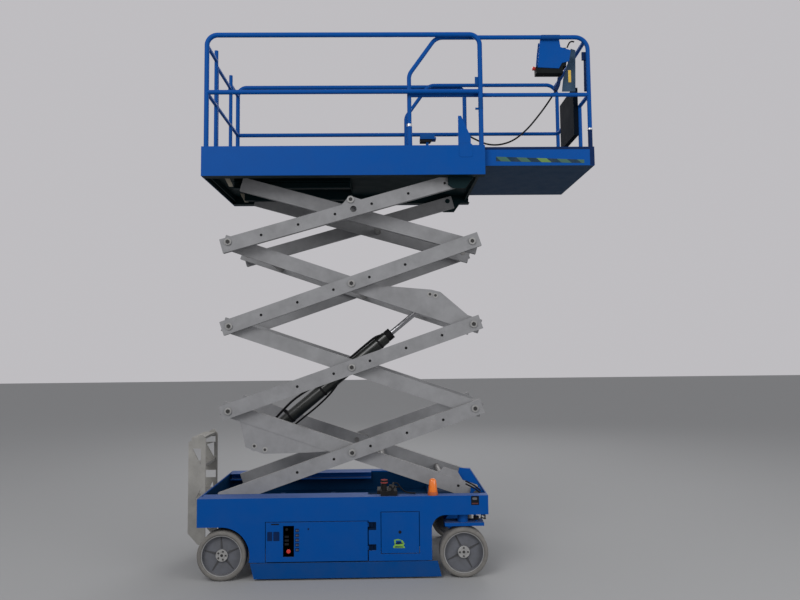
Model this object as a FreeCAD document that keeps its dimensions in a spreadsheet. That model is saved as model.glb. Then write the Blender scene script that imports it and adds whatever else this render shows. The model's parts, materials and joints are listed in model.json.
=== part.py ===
import FreeCAD, Part

import math
import os
import re

import Sketcher

# A self-propelled slab scissor lift with four scissor stages, its platform raised.
# Millimetres and degrees. +X is the steered end, -Y the right side, +Z up.
# Every x is counted from the middle of the wheelbase. At the end each sub-part is
# moved by one length, so that the origin is under the middle of the overall length.

SIZES = (
    # wheels
    ("wheelbase", 1850),
    ("overall_width", 1170),
    ("tyre_radius", 186.5),
    ("tyre_width", 127),
    ("rim_radius", 155),
    ("rim_width", 104),
    ("rim_wall", 9),
    ("rim_dish", 40),
    ("hub_radius", 46),
    ("spindle_radius", 20),
    ("running_gap", 0.05),
    ("seat_gap", 0.3),
    # chassis
    ("chassis_rear", 1110),
    ("chassis_front", 1116),
    ("side_top", 617),
    ("front_bottom", 473),
    ("skirt_bottom", 137),
    ("skirt_clear", 245),
    ("arch_radius", 216),
    ("front_arch_radius", 105),
    ("plate", 8),
    ("tray_inset", 85),
    ("tray_floor", 450),
    ("tray_step", 700),
    ("front_floor", 486),
    ("core_half_width", 250),
    ("core_bottom", 142),
    ("bay_rear", 700),
    ("bay_clear", 253),
    ("well_half_width", 110),
    ("well_rear", 830),
    ("well_front", 250),
    ("well_sill", 262),
    # module doors, access doors and pothole guards
    ("door_rear", 586),
    ("door_front", 192),
    ("door_top", 434),
    ("door_gap", 5),
    ("door_hinge", 222),
    ("hinge_inset", 12),
    ("hinge_pin_radius", 6),
    ("hinge_tube_radius", 11),
    ("hinge_tube_length", 30),
    ("hinge_low", 234),
    ("hinge_high", 405),
    ("hatch_rear", 289),
    ("hatch_front", 587),
    ("hatch_bottom", 188),
    ("hatch_top", 504),
    ("hatch_pin_radius", 2.5),
    ("hatch_pin_inset", 11),
    ("panel_rear", 455),
    ("panel_front", 371),
    ("panel_bottom", 176),
    ("panel_top", 408),
    ("panel_depth", 22),
    ("panel_set_back", 4),
    ("pack_clear", 60),
    ("pack_inset", 25),
    ("pack_rear", 500),
    ("pack_front", 150),
    ("pack_bottom", 158),
    ("pack_top", 400),
    ("guard_rear_clear", 219),
    ("guard_front_clear", 203),
    ("guard_slant", 29),
    ("guard_gap", 6),
    ("guard_bottom", 15),
    ("guard_thick", 6),
    ("guard_hinge_inset", 20),
    ("guard_hinge_drop", 9),
    ("guard_tube_length", 60),
    ("beacon_radius", 40),
    # steering
    ("kingpin_inset", 80),
    ("kingpin_radius", 25),
    ("kingpin_boss", 40),
    ("yoke_rear", 142),
    ("yoke_front", 160),
    ("yoke_inset", 25),
    ("yoke_bottom", 381),
    ("yoke_top", 405),
    ("yoke_boss_top", 466),
    ("yoke_leg_thick", 22),
    ("yoke_leg_inset", 139),
    ("yoke_leg_half", 75),
    ("yoke_leg_bottom", 116),
    ("motor_radius", 70),
    ("motor_length", 95),
    ("steer_arm", 105),
    ("stud_radius", 10),
    ("stud_top", 446),
    ("tie_rod_radius", 9),
    ("tie_rod_height", 430),
    ("tie_rod_eye", 22),
    # rear axle
    ("axle_box", 80),
    ("axle_inset", 145),
    ("hanger_inset", 185),
    ("hanger_thick", 20),
    # scissor stack
    ("lift_angle", 18.93),
    ("half_arm", 1038.7),
    ("upper_half", 880),
    ("kink", 7.26),
    ("fixed_pivot_x", 1048.3),
    ("pivot_z", 590.4),
    ("arm_depth", 115),
    ("arm_width", 45),
    ("arm_wall", 5),
    ("arm_end", 62),
    ("top_arm_end", 46),
    ("top_arm_drop", 20),
    ("stack_inset", 102.5),
    ("plane_gap", 8),
    ("pin_radius", 22),
    ("slide_pin_radius", 16),
    ("boss_radius", 33),
    ("ear_radius", 29),
    ("head_radius", 28),
    ("head_thick", 8),
    ("arm_hole_radius", 11),
    ("arm_hole_pitch", 307),
    ("big_hole_radius", 26),
    ("cross_tube_radius", 25),
    # slide blocks
    ("block_half_length", 45),
    ("block_half_height", 22),
    ("block_width", 46),
    ("slide_gap", 0.5),
    ("channel_wall", 8),
    ("channel_lip", 4),
    # lift cylinder, its pins placed along and across the arms that hold them
    ("low_pin_along", 1799),
    ("low_pin_across", 204.7),
    ("high_pin_along", 361.8),
    ("high_pin_across", 126.9),
    ("barrel_radius", 52.5),
    ("barrel_bore", 42),
    ("barrel_length", 1426),
    ("collar_length", 60),
    ("collar_radius", 46),
    ("rod_radius", 22.5),
    ("rod_length", 1400),
    ("eye_radius", 45),
    ("eye_half_width", 38),
    ("cylinder_pin_radius", 25),
    ("rod_pin_half", 140),
    ("gusset_boss_inner", 101),
    ("gusset_boss_radius", 40),
    ("gusset_thick", 12),
    ("pin_plate_gap", 7),
    # platform
    ("deck_rise", 70.8),
    ("deck_plate", 5),
    ("platform_rear", 1108),
    ("platform_front", 1143),
    ("platform_inset", 5.5),
    ("fascia_drop", 76),
    ("fascia_rise", 161),
    ("hanger_drop", 95),
    ("rail_height", 1080),
    ("rail_mid_height", 609),
    ("rail_radius", 19),
    ("rail_bend", 85),
    ("post_rear", 1076),
    ("post_front", 1119),
    ("gate_half", 260),
    ("gate_post_radius", 16),
    ("gate_bar_radius", 14),
    ("gate_top_height", 952),
    ("gate_low_height", 222),
    # roll-out extension deck
    ("ext_reach", 891),
    ("ext_length", 1534),
    ("ext_inset", 52),
    ("ext_step", 6),
    ("ext_plate", 6),
    ("ext_board_rise", 152),
    ("ext_rail_radius", 17),
    ("ext_post_rear", 546),
    ("ext_slope_top", 770),
    ("ext_slope_drop", 311),
    ("ext_bend", 105),
    ("ext_bar_drop", 36),
    ("ext_bar_back", 26),
    ("ext_front_post", 235),
    # ladder at the rear end
    ("ladder_rear", 1293),
    ("ladder_front", 1152),
    ("ladder_half", 195),
    ("ladder_top", 1051),
    ("ladder_bottom", 164),
    ("ladder_plate", 10),
    # cable from the platform's control box
    ("cable_radius", 7),
    ("cable_gland", 14),
    ("cable_end_back", 171),
    ("cable_end_rise", 146),
)

# widths and heights that follow from the sizes above
FOLLOWERS = {
    "bay_front": "(wheelbase / 2 - bay_clear)",
    "skirt_front": "(wheelbase / 2 - skirt_clear)",
    "guard_rear": "(wheelbase / 2 - guard_rear_clear)",
    "guard_front": "(wheelbase / 2 - guard_front_clear)",
    "cable_end_x": "(platform_front - cable_end_back)",
    "cable_end_z": "(fascia_top + cable_end_rise)",
    "tray_half_width": "(overall_width / 2 - tray_inset)",
    "pack_inner": "(core_half_width + pack_clear)",
    "pack_outer": "(overall_width / 2 - pack_inset)",
    "yoke_outer": "(overall_width / 2 - yoke_inset)",
    "yoke_leg_outer": "(overall_width / 2 - yoke_leg_inset)",
    "yoke_leg_inner": "(yoke_leg_outer - yoke_leg_thick)",
    "axle_half_width": "(overall_width / 2 - axle_inset)",
    "hanger_outer": "(overall_width / 2 - hanger_inset)",
    "hanger_inner": "(hanger_outer - hanger_thick)",
    "outer_plane": "(tray_half_width - stack_inset)",
    "beam_plane": "(outer_plane + 3 * arm_width / 2 + 3 * plane_gap + 1)",
    "platform_half_width": "(overall_width / 2 - platform_inset)",
    "arm_rise": "(2 * half_arm * sin(lift_angle * 1deg))",
    "lean_rise": "(upper_half * sin(lift_angle * 1deg - kink * 1deg))",
    "deck_top": "(pivot_z + 3.5 * arm_rise + lean_rise + deck_rise)",
    "fascia_bottom": "(deck_top - fascia_drop)",
    "fascia_top": "(deck_top + fascia_rise)",
    "rail_top": "(deck_top + rail_height)",
    "rail_mid": "(deck_top + rail_mid_height)",
    "gate_top": "(deck_top + gate_top_height)",
    "gate_bottom": "(deck_top + gate_low_height)",
    "ext_half_width": "(platform_half_width - ext_inset)",
    "ext_deck": "(deck_top + ext_step)",
    "ext_board_top": "(ext_deck + ext_board_rise)",
    "ext_slope_low": "(rail_top - 2 - ext_slope_drop)",
    "ext_front_bar": "(rail_top - 2 - ext_bar_drop)",
}

doc = FreeCAD.newDocument("scissor_lift")
sizes = doc.addObject("Spreadsheet::Sheet", "sizes")
for row, (alias, value) in enumerate(SIZES, 1):
    sizes.set(f"A{row}", alias)
    sizes.set(f"B{row}", str(value))
    sizes.setAlias(f"B{row}", alias)
doc.recompute()

ALIASES = {alias for alias, value in SIZES}
WORD = re.compile(r"[a-z][a-z_0-9]*")
X_AXIS = FreeCAD.Vector(1, 0, 0)
Y_AXIS = FreeCAD.Vector(0, 1, 0)
Z_AXIS = FreeCAD.Vector(0, 0, 1)
SIDES = (("right", -1), ("left", 1))
HALF_WIDTH = "overall_width / 2"
CENTRE = "(platform_front + ext_reach - ladder_rear) / 2"
nodes = {}


def formula(text):
    """The expression with each name led to its cell, or to the sizes that it follows."""
    def lead(word):
        name = word.group()
        if name in FOLLOWERS:
            return formula(FOLLOWERS[name])
        return "sizes." + name if name in ALIASES else name
    return WORD.sub(lead, str(text))


def measure(text):
    """The expression's value now, as a plain number."""
    value = sizes.evalExpression(formula(text))
    return float(getattr(value, "Value", value))


def move(piece, x, y, z):
    """Bind a piece's place."""
    for axis, text in (("x", x), ("y", y), ("z", z)):
        piece.setExpression("Placement.Base." + axis, formula(text))


def box(name, x, y, z):
    """A block between two planes along each axis."""
    piece = doc.addObject("Part::Box", name)
    for size, (low, high) in (("Length", x), ("Width", y), ("Height", z)):
        piece.setExpression(size, formula(f"({high}) - ({low})"))
    move(piece, x[0], y[0], z[0])
    return piece


def rod(name, radius, axis, at, span):
    """A round bar along an axis, between two planes."""
    piece = doc.addObject("Part::Cylinder", name)
    piece.setExpression("Radius", formula(radius))
    piece.setExpression("Height", formula(f"({span[1]}) - ({span[0]})"))
    turn = {"x": (Y_AXIS, 90), "y": (X_AXIS, -90), "z": (Z_AXIS, 0)}[axis]
    piece.Placement = FreeCAD.Placement(FreeCAD.Vector(), FreeCAD.Rotation(*turn))
    place = list(at)
    place.insert("xyz".index(axis), span[0])
    move(piece, *place)
    return piece


def plate(name, plane, outline, span):
    """A flat plate with straight edges, drawn in a plane and padded between two others."""
    body = doc.addObject("PartDesign::Body", name)
    origin = [part for part in body.Origin.OriginFeatures if part.Role == plane + "_Plane"][0]
    sketch = body.newObject("Sketcher::SketchObject", name + "_outline")
    sketch.AttachmentSupport = [(origin, "")]
    sketch.MapMode = "FlatFace"
    corners = [(measure(u), measure(v)) for u, v in outline]
    count = len(corners)
    for index in range(count):
        start = FreeCAD.Vector(*corners[index], 0)
        end = FreeCAD.Vector(*corners[(index + 1) % count], 0)
        sketch.addGeometry(Part.LineSegment(start, end), False)
    for index in range(count):
        sketch.addConstraint(Sketcher.Constraint("Coincident", index, 2, (index + 1) % count, 1))
    for index, point in enumerate(outline):
        for kind, text, now in zip(("DistanceX", "DistanceY"), point, corners[index]):
            rule = sketch.addConstraint(Sketcher.Constraint(kind, -1, 1, index, 1, now))
            sketch.setExpression(f"Constraints[{rule}]", formula(text))
    pad = body.newObject("PartDesign::Pad", name + "_pad")
    pad.Profile = sketch
    pad.setExpression("Length", formula(f"({span[1]}) - ({span[0]})"))
    move(body, *{"XZ": ("0", span[1], "0"), "YZ": (span[0], "0", "0"), "XY": ("0", "0", span[0])}[plane])
    return body


def bent_path(corners, bend):
    """Straight runs joined by tangent arcs of one radius."""
    edges = []
    last = corners[0]
    for before, corner, after in zip(corners, corners[1:], corners[2:]):
        back = (before - corner).normalize()
        ahead = (after - corner).normalize()
        turn = math.pi - back.getAngle(ahead)
        reach = bend * math.tan(turn / 2)
        start = corner + back * reach
        end = corner + ahead * reach
        middle = (back + ahead).normalize()
        crown = corner + middle * (bend / math.cos(turn / 2) - bend)
        edges.append(Part.LineSegment(last, start).toShape())
        edges.append(Part.Arc(start, crown, end).toShape())
        last = end
    edges.append(Part.LineSegment(last, corners[-1]).toShape())
    return Part.Wire(edges)


def cord_path(corners):
    """Straight runs joined by tangent arcs, each as large as 0.45 of the shorter run beside it allows."""
    edges = []
    radii = []
    last = corners[0]
    for before, corner, after in zip(corners, corners[1:], corners[2:]):
        reach = 0.45 * min((before - corner).Length, (after - corner).Length)
        back = (before - corner).normalize()
        ahead = (after - corner).normalize()
        turn = math.pi - back.getAngle(ahead)
        radius = reach / math.tan(turn / 2)
        start = corner + back * reach
        end = corner + ahead * reach
        middle = (back + ahead).normalize()
        crown = corner + middle * (radius / math.cos(turn / 2) - radius)
        edges.append(Part.LineSegment(last, start).toShape())
        edges.append(Part.Arc(start, crown, end).toShape())
        radii.append(radius)
        last = end
    edges.append(Part.LineSegment(last, corners[-1]).toShape())
    return edges, radii, sum(edge.Length for edge in edges)


def pipe(name, points, radius, bend):
    """A round bar bent along a path."""
    corners = [FreeCAD.Vector(*(measure(text) for text in point)) for point in points]
    path = bent_path(corners, measure(bend))
    ring = Part.Wire(Part.Circle(corners[0], corners[1] - corners[0], measure(radius)).toShape())
    piece = doc.addObject("Part::Feature", name)
    piece.Shape = path.makePipeShell([ring], True, False)
    return piece


def fuse(name, pieces):
    """Pieces joined into one."""
    joined = doc.addObject("Part::MultiFuse", name)
    joined.Shapes = pieces
    return joined


def cut(name, base, tools):
    """A piece less its holes."""
    result = doc.addObject("Part::Cut", name)
    result.Base = base
    result.Tool = tools[0] if len(tools) == 1 else fuse(name + "_holes", tools)
    return result


def node(label, pieces, x="0", z="0", turn=None):
    """A finished sub-part of one or more separate solids, put in its place."""
    whole = doc.addObject("Part::Compound", label)
    whole.Links = pieces
    whole.Label = label
    if turn is not None:
        whole.Placement = FreeCAD.Placement(FreeCAD.Vector(), FreeCAD.Rotation(Y_AXIS, 1))
        whole.setExpression("Placement.Rotation.Angle", formula(turn))
    move(whole, f"({x}) - ({CENTRE})", "0", z)
    nodes[label] = whole
    return whole


def across(sign, inner, outer):
    """A span on one side of the middle plane, low end first."""
    if sign > 0:
        return (f"{inner}", f"{outer}")
    return (f"-({outer})", f"-({inner})")


def at_side(sign, distance):
    """A place on one side of the middle plane."""
    return f"{sign} * ({distance})"


# chassis: side frames

GUARD_LUGS = ("-guard_rear + 60", "door_hinge + 2 * hinge_tube_radius + 20", "guard_front - 76")

def side_frame(side, sign):
    """A side plate with its arches and openings, and the hinges' lugs and pins behind it."""
    name = "side_" + side
    wall = across(sign, f"{HALF_WIDTH} - plate", HALF_WIDTH)
    through = across(sign, f"{HALF_WIDTH} - 3 * plate", f"{HALF_WIDTH} + plate")
    base = box(name + "_sheet", ("-chassis_rear", "chassis_front"), wall, ("skirt_bottom", "side_top"))
    arch_top = "tyre_radius + arch_radius"
    corner_x = "skirt_front + front_arch_radius"
    corner_z = "front_bottom - front_arch_radius"
    tools = [
        box(name + "_rear", ("-chassis_rear - plate", "-wheelbase / 2"), through, ("0", arch_top)),
        rod(name + "_arch", "arch_radius", "y", ("-wheelbase / 2", "tyre_radius"), through),
        box(name + "_front", ("skirt_front", "chassis_front + plate"), through, ("0", corner_z)),
        box(name + "_nose", (corner_x, "chassis_front + plate"), through, ("0", "front_bottom")),
        rod(name + "_corner", "front_arch_radius", "y", (corner_x, corner_z), through),
        box(name + "_bay", ("-door_rear - door_gap", "door_front + door_gap"), through,
            ("0", "door_top + door_gap")),
        box(name + "_hatch", ("hatch_rear", "hatch_front"), through, ("hatch_bottom", "hatch_top")),
        rod(name + "_hatch_bores", "hatch_pin_radius + running_gap", "z",
            ("hatch_front - hatch_pin_inset", at_side(sign, f"{HALF_WIDTH} - plate / 2")),
            ("hatch_bottom - plate", "hatch_top + plate")),
    ]
    hinge = f"{HALF_WIDTH} - hinge_inset"
    lugs = []
    for level in ("hinge_low", "hinge_high"):
        low = f"{level} - hinge_tube_length / 2"
        high = f"{level} + hinge_tube_length / 2"
        tools.append(box(f"{name}_{level}_notch", ("door_front", "door_hinge + 2 * hinge_tube_radius + door_gap"),
                         through, (f"{low} - door_gap", f"{high} + door_gap")))
        for end, span in (("under", (f"{low} - door_gap - plate", f"{low} - seat_gap")),
                          ("over", (f"{high} + seat_gap", f"{high} + door_gap + plate"))):
            lugs.append(box(f"{name}_{level}_{end}", ("door_hinge - hinge_pin_radius", "door_hinge + hinge_tube_radius"),
                            across(sign, f"{hinge} - hinge_tube_radius", f"{HALF_WIDTH} - plate"), span))
        lugs.append(box(f"{name}_{level}_back", ("door_hinge + hinge_tube_radius + 1", "door_hinge + 3 * hinge_tube_radius"),
                        across(sign, f"{hinge} - hinge_tube_radius", f"{HALF_WIDTH} - plate"),
                        (f"{low} - door_gap - plate", f"{high} + door_gap + plate")))
        for end, span in (("under_tie", (f"{low} - door_gap - plate", f"{low} - seat_gap")),
                          ("over_tie", (f"{high} + seat_gap", f"{high} + door_gap + plate"))):
            lugs.append(box(f"{name}_{level}_{end}", ("door_hinge", "door_hinge + 3 * hinge_tube_radius"),
                            across(sign, f"{hinge} - hinge_tube_radius", f"{HALF_WIDTH} - plate"), span))
        lugs.append(rod(f"{name}_{level}_pin", "hinge_pin_radius", "z", ("door_hinge", at_side(sign, hinge)),
                        (f"{low} - door_gap", f"{high} + door_gap")))
    guard_y = f"{HALF_WIDTH} - guard_hinge_inset"
    guard_z = "skirt_bottom - guard_hinge_drop"
    for index, spot in enumerate(GUARD_LUGS):
        ends = (f"({spot}) - plate", f"({spot}) + plate")
        lugs.append(box(f"{name}_guard_lug_{index}", ends, across(sign, f"{guard_y} - hinge_pin_radius",
                                                                 f"{guard_y} + hinge_pin_radius"),
                        (f"{guard_z} - hinge_pin_radius", "skirt_bottom + 2 * plate")))
        lugs.append(box(f"{name}_guard_tie_{index}", ends, across(sign, f"{guard_y} - hinge_pin_radius",
                                                                 f"{HALF_WIDTH} - plate"),
                        ("skirt_bottom + plate", "skirt_bottom + 2 * plate")))
    lugs.append(rod(name + "_guard_rod", "hinge_pin_radius", "x", (at_side(sign, guard_y), guard_z),
                    (f"({GUARD_LUGS[0]}) - plate", f"({GUARD_LUGS[-1]}) + plate")))
    return fuse(name, [cut(name + "_cut", base, tools)] + lugs)


node("side_frames", [side_frame(side, sign) for side, sign in SIDES])

# chassis: tray, walls, ends and core
tray = [
    cut("tray_rear_floor",
        box("tray_rear_sheet", ("-chassis_rear + plate", "tray_step"), ("-tray_half_width", "tray_half_width"),
            ("tray_floor - plate", "tray_floor")),
        [box("tray_well", ("-well_rear", "-well_front"), ("-well_half_width", "well_half_width"),
             ("tray_floor - 2 * plate", "tray_floor + plate"))]),
    box("tray_riser", ("tray_step - plate", "tray_step"), ("-tray_half_width - plate", "tray_half_width + plate"),
        ("tray_floor - plate", "front_floor")),
    box("tray_front_floor", ("tray_step - plate", "chassis_front - plate"),
        (f"-({HALF_WIDTH} - plate)", f"{HALF_WIDTH} - plate"), ("front_floor - plate", "front_floor")),
]
for side, sign in SIDES:
    tray.extend([
        box(f"wall_{side}_rear", ("-chassis_rear + plate", "tray_step"),
            across(sign, "tray_half_width", "tray_half_width + plate"), ("tray_floor - plate", "side_top")),
        box(f"wall_{side}_front", ("tray_step - plate", "chassis_front - plate"),
            across(sign, "tray_half_width", "tray_half_width + plate"), ("front_floor", "side_top")),
        box(f"wall_{side}_flange", ("-chassis_rear + plate", "chassis_front - plate"),
            across(sign, "tray_half_width", f"{HALF_WIDTH} - plate"), ("side_top - plate", "side_top")),
    ])
tray.extend([
    box("end_rear", ("-chassis_rear", "-chassis_rear + plate"), (f"-({HALF_WIDTH} - plate)", f"{HALF_WIDTH} - plate"),
        ("tyre_radius + arch_radius", "side_top")),
    box("end_front", ("chassis_front - plate", "chassis_front"), (f"-({HALF_WIDTH} - plate)", f"{HALF_WIDTH} - plate"),
        ("front_bottom", "side_top")),
])

# kingpins under the front floor
front_x = "wheelbase / 2"
kingpin_y = f"{HALF_WIDTH} - kingpin_inset"
for side, sign in SIDES:
    tray.extend([
        rod(f"kingpin_{side}_shaft", "kingpin_radius", "z", (front_x, at_side(sign, kingpin_y)),
            ("yoke_bottom + 3", "front_floor - plate")),
        rod(f"kingpin_{side}_flange", "kingpin_boss + 15", "z", (front_x, at_side(sign, kingpin_y)),
            ("yoke_boss_top + seat_gap", "front_floor - plate")),
    ])
node("chassis_tray", [fuse("tray_parts", tray)])

core = [box("core_base", ("-bay_rear", "bay_front"), ("-core_half_width", "core_half_width"),
            ("core_bottom", "core_bottom + plate"))]
for side, sign in SIDES:
    core.append(box("core_wall_" + side, ("-bay_rear", "bay_front"), across(sign, "core_half_width - plate", "core_half_width"),
                    ("core_bottom", "tray_floor - plate")))
bulkhead = (f"-({HALF_WIDTH} - plate)", f"{HALF_WIDTH} - plate")
core.append(box("core_end_front", ("bay_front - plate", "bay_front"), bulkhead, ("core_bottom", "tray_floor - plate")))
core.append(cut("core_end_rear", box("core_end_sheet", ("-bay_rear", "-bay_rear + plate"), bulkhead,
                                     ("core_bottom", "tray_floor - plate")),
                [box("core_end_notch", ("-bay_rear - 1", "-bay_rear + plate + 1"), ("-well_half_width", "well_half_width"),
                     ("well_sill", "tray_floor"))]))
node("chassis_core", [fuse("core_parts", core)])

# channels that carry the lower slide blocks, on the tray's walls
channel_low = "pivot_z - block_half_height - slide_gap"
channel_high = "pivot_z + block_half_height + slide_gap"
block_inner = "outer_plane + arm_width / 2 + plane_gap"
channels = []
for side, sign in SIDES:
    span = ("-chassis_rear + 2 * plate", "fixed_pivot_x - half_arm + 4 * block_half_length")
    channels.append(fuse("channel_" + side, [
        box(f"channel_{side}_floor", span, across(sign, f"{block_inner} - 2", "tray_half_width"),
            (f"{channel_low} - channel_wall", channel_low)),
        box(f"channel_{side}_web", span, across(sign, "tray_half_width - channel_wall", "tray_half_width"),
            (f"{channel_low} - channel_wall", f"{channel_high} + channel_lip")),
        box(f"channel_{side}_lip", span, across(sign, f"{block_inner} - 2", "tray_half_width"),
            (channel_high, f"{channel_high} + channel_lip")),
    ]))
node("slide_channels", channels)

# brackets that carry the fixed lower pivots
inner_plane = "(outer_plane - arm_width - plane_gap)"
brackets = []
tall_bracket = (("fixed_pivot_x - 143", "front_floor"), ("fixed_pivot_x - 143", "pivot_z + 110"),
                ("fixed_pivot_x - 123", "pivot_z + 190"), ("fixed_pivot_x - 38", "pivot_z + 178"),
                ("chassis_front - plate", "pivot_z + 10"), ("chassis_front - plate", "front_floor"))
low_bracket = (("fixed_pivot_x - 70", "front_floor"), ("fixed_pivot_x - 40", "pivot_z + 45"),
               ("chassis_front - plate - 25", "pivot_z + 45"), ("chassis_front - plate", "pivot_z + 10"),
               ("chassis_front - plate", "front_floor"))
for side, sign in SIDES:
    plates = (
        ("inner", f"{inner_plane} - arm_width / 2 - plane_gap - 14", f"{inner_plane} - arm_width / 2 - plane_gap",
         low_bracket if side == "left" else tall_bracket),
        ("outer", f"{inner_plane} + arm_width / 2 + plane_gap", f"{inner_plane} + arm_width / 2 + plane_gap + 14",
         low_bracket),
    )
    for place, low, high, outline in plates:
        name = f"bracket_{side}_{place}"
        sheet = plate(name, "XZ", outline, across(sign, low, high))
        brackets.append(cut(name + "_cut", sheet, [
            rod(name + "_bore", "pin_radius + running_gap", "y", ("fixed_pivot_x", "pivot_z"),
                across(sign, f"{low} - plate", f"{high} + plate"))]))
node("pivot_brackets", brackets)

# rear axle beam with its hangers and spindles
axle_low = "tyre_radius - axle_box / 2"
axle_high = "tyre_radius + axle_box / 2"
axle = [box("axle_beam", ("-wheelbase / 2 - axle_box / 2", "-wheelbase / 2 + axle_box / 2"),
            ("-axle_half_width", "axle_half_width"), (axle_low, axle_high)),
        rod("axle_spindle", "spindle_radius", "y", ("-wheelbase / 2", "tyre_radius"),
            (f"-({HALF_WIDTH} - 30)", f"{HALF_WIDTH} - 30"))]
for side, sign in SIDES:
    axle.append(plate("hanger_" + side, "XZ",
                      (("-wheelbase / 2 - axle_box / 2", axle_low), ("-wheelbase / 2 + axle_box / 2", axle_low),
                       ("-wheelbase / 2 + axle_box", "tray_floor - plate"),
                       ("-wheelbase / 2 - axle_box", "tray_floor - plate")),
                      across(sign, "hanger_inner", "hanger_outer")))
node("rear_axle", [fuse("axle_parts", axle)])

# ladder at the rear
LADDER_HOLES = {
    "right": (((32, 110), (103, 111), (101, 242)), ((100, 443), (57, 523), (104, 517))),
    "left": (((37, 59), (123, 59), (123, 109), (37, 109)), ((46, 129), (111, 112), (112, 242)),
             ((37, 352), (128, 352), (128, 416), (37, 416)), ((102, 450), (39, 570), (112, 571))),
}
ladder = []
for side, sign in SIDES:
    sheet = plate("ladder_" + side, "XZ",
                  (("-ladder_rear", "ladder_bottom + 93"), ("-ladder_rear + 84", "ladder_bottom"),
                   ("-ladder_front", "ladder_bottom"), ("-ladder_front", "ladder_top - 34"),
                   ("-ladder_front - 28", "ladder_top"), ("-ladder_rear + 95", "ladder_top"),
                   ("-ladder_rear", "ladder_top - 59")),
                  across(sign, "ladder_half - ladder_plate", "ladder_half"))
    holes = []
    for index, corners in enumerate(LADDER_HOLES[side]):
        outline = [(f"-ladder_rear + {back}", f"ladder_top - {down}") for back, down in corners]
        holes.append(plate(f"ladder_{side}_hole_{index}", "XZ", outline,
                           across(sign, "ladder_half - 2 * ladder_plate", "ladder_half + ladder_plate")))
    ladder.append(cut(f"ladder_{side}_cut", sheet, holes))
    for index, level in enumerate(("side_top - 60", "side_top - 130")):
        ladder.append(box(f"ladder_{side}_tie_{index}", ("-ladder_front - 20", "-chassis_rear"),
                          across(sign, "ladder_half - ladder_plate - 6", "ladder_half - 2"), (level, f"{level} + 30")))
for index, level in enumerate(("ladder_bottom + 120", "ladder_bottom + 370", "ladder_bottom + 620", "ladder_top - 40")):
    ladder.append(box(f"ladder_step_{index}", ("-ladder_rear + 25", "-ladder_front - 15"),
                      ("-ladder_half + 2", "ladder_half - 2"), (level, f"{level} + 20")))
node("ladder", [fuse("ladder_parts", ladder)])

# beacons and the valve post on the side flanges
beacons = []
for side, sign in SIDES:
    at = ("guard_front - 28", at_side(sign, f"{HALF_WIDTH} - 45"))
    beacons.append(fuse("beacon_" + side, [
        rod(f"beacon_{side}_foot", "beacon_radius", "z", at, ("side_top", "side_top + 22")),
        rod(f"beacon_{side}_lens", "beacon_radius - 6", "z", at, ("side_top + 22", "side_top + 104")),
        rod(f"beacon_{side}_crown", "beacon_radius - 13", "z", at, ("side_top + 104", "side_top + 124")),
    ]))
node("beacons", beacons)
valve_at = ("hatch_rear + 29", f"-({HALF_WIDTH} - 45)")
node("lowering_valve", [fuse("valve_parts", [
    box("valve_block", ("hatch_rear + 1", "hatch_rear + 131"), across(-1, f"{HALF_WIDTH} - 65", f"{HALF_WIDTH} - 20"),
        ("side_top", "side_top + 34")),
    rod("valve_stem", "20", "z", valve_at, ("side_top + 34", "side_top + 96")),
    rod("valve_knob", "28", "z", valve_at, ("side_top + 96", "side_top + 118")),
    box("valve_body", ("hatch_rear + 66", "hatch_rear + 111"), across(-1, f"{HALF_WIDTH} - 60", f"{HALF_WIDTH} - 25"),
        ("side_top + 34", "side_top + 74")),
])])

# module doors, each with its swing-out tray, and what stands on it
hinge_y = f"{HALF_WIDTH} - hinge_inset"
for side, sign in SIDES:
    name = "module_door_" + side
    skin = across(sign, f"{HALF_WIDTH} - plate", HALF_WIDTH)
    parts = [
        box(name + "_skin", ("-door_rear", "door_front - 3"), skin, ("skirt_bottom + 3", "door_top")),
        box(name + "_tray", ("-pack_rear - 20", "pack_front"), across(sign, "pack_inner - 10", f"{HALF_WIDTH} - plate"),
            ("pack_bottom - plate", "pack_bottom")),
    ]
    bores = []
    for level in ("hinge_low", "hinge_high"):
        span = (f"{level} - hinge_tube_length / 2", f"{level} + hinge_tube_length / 2")
        parts.append(box(f"{name}_{level}_strap", ("door_front - 60", "door_hinge"),
                         across(sign, f"{hinge_y} - 3", f"{HALF_WIDTH} - plate"), span))
        parts.append(rod(f"{name}_{level}_tube", "hinge_tube_radius", "z", ("door_hinge", at_side(sign, hinge_y)), span))
        bores.append(rod(f"{name}_{level}_bore", "hinge_pin_radius + running_gap", "z",
                         ("door_hinge", at_side(sign, hinge_y)), span))
    if side == "right":
        bores.append(box(name + "_window", ("-panel_rear", "-panel_front"),
                         across(sign, f"{HALF_WIDTH} - 2 * plate", f"{HALF_WIDTH} + plate"),
                         ("panel_bottom", "panel_top")))
    node(name, [cut(name + "_cut", fuse(name + "_parts", parts), bores)])

panel_face = f"{HALF_WIDTH} - panel_set_back"
node("ground_controls", [fuse("controls_parts", [
    box("controls_box", ("-panel_rear + seat_gap", "-panel_front - seat_gap"),
        across(-1, f"{HALF_WIDTH} - panel_depth", panel_face), ("panel_bottom + seat_gap", "panel_top - seat_gap")),
    rod("controls_stop", "16", "y", ("-(panel_rear + panel_front) / 2", "217"), across(-1, panel_face, f"{HALF_WIDTH} - 1")),
    rod("controls_key", "10", "y", ("-(panel_rear + panel_front) / 2 - 14", "380"), across(-1, panel_face, f"{HALF_WIDTH} - 3")),
])])
pack_span = ("-pack_rear", "pack_front")
node("battery_pack", [box("battery_block", pack_span, across(-1, "pack_inner", "pack_outer"), ("pack_bottom", "pack_top"))])
node("power_unit", [box("power_block", pack_span, across(1, "pack_inner", "pack_outer"), ("pack_bottom", "pack_top"))])

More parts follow.
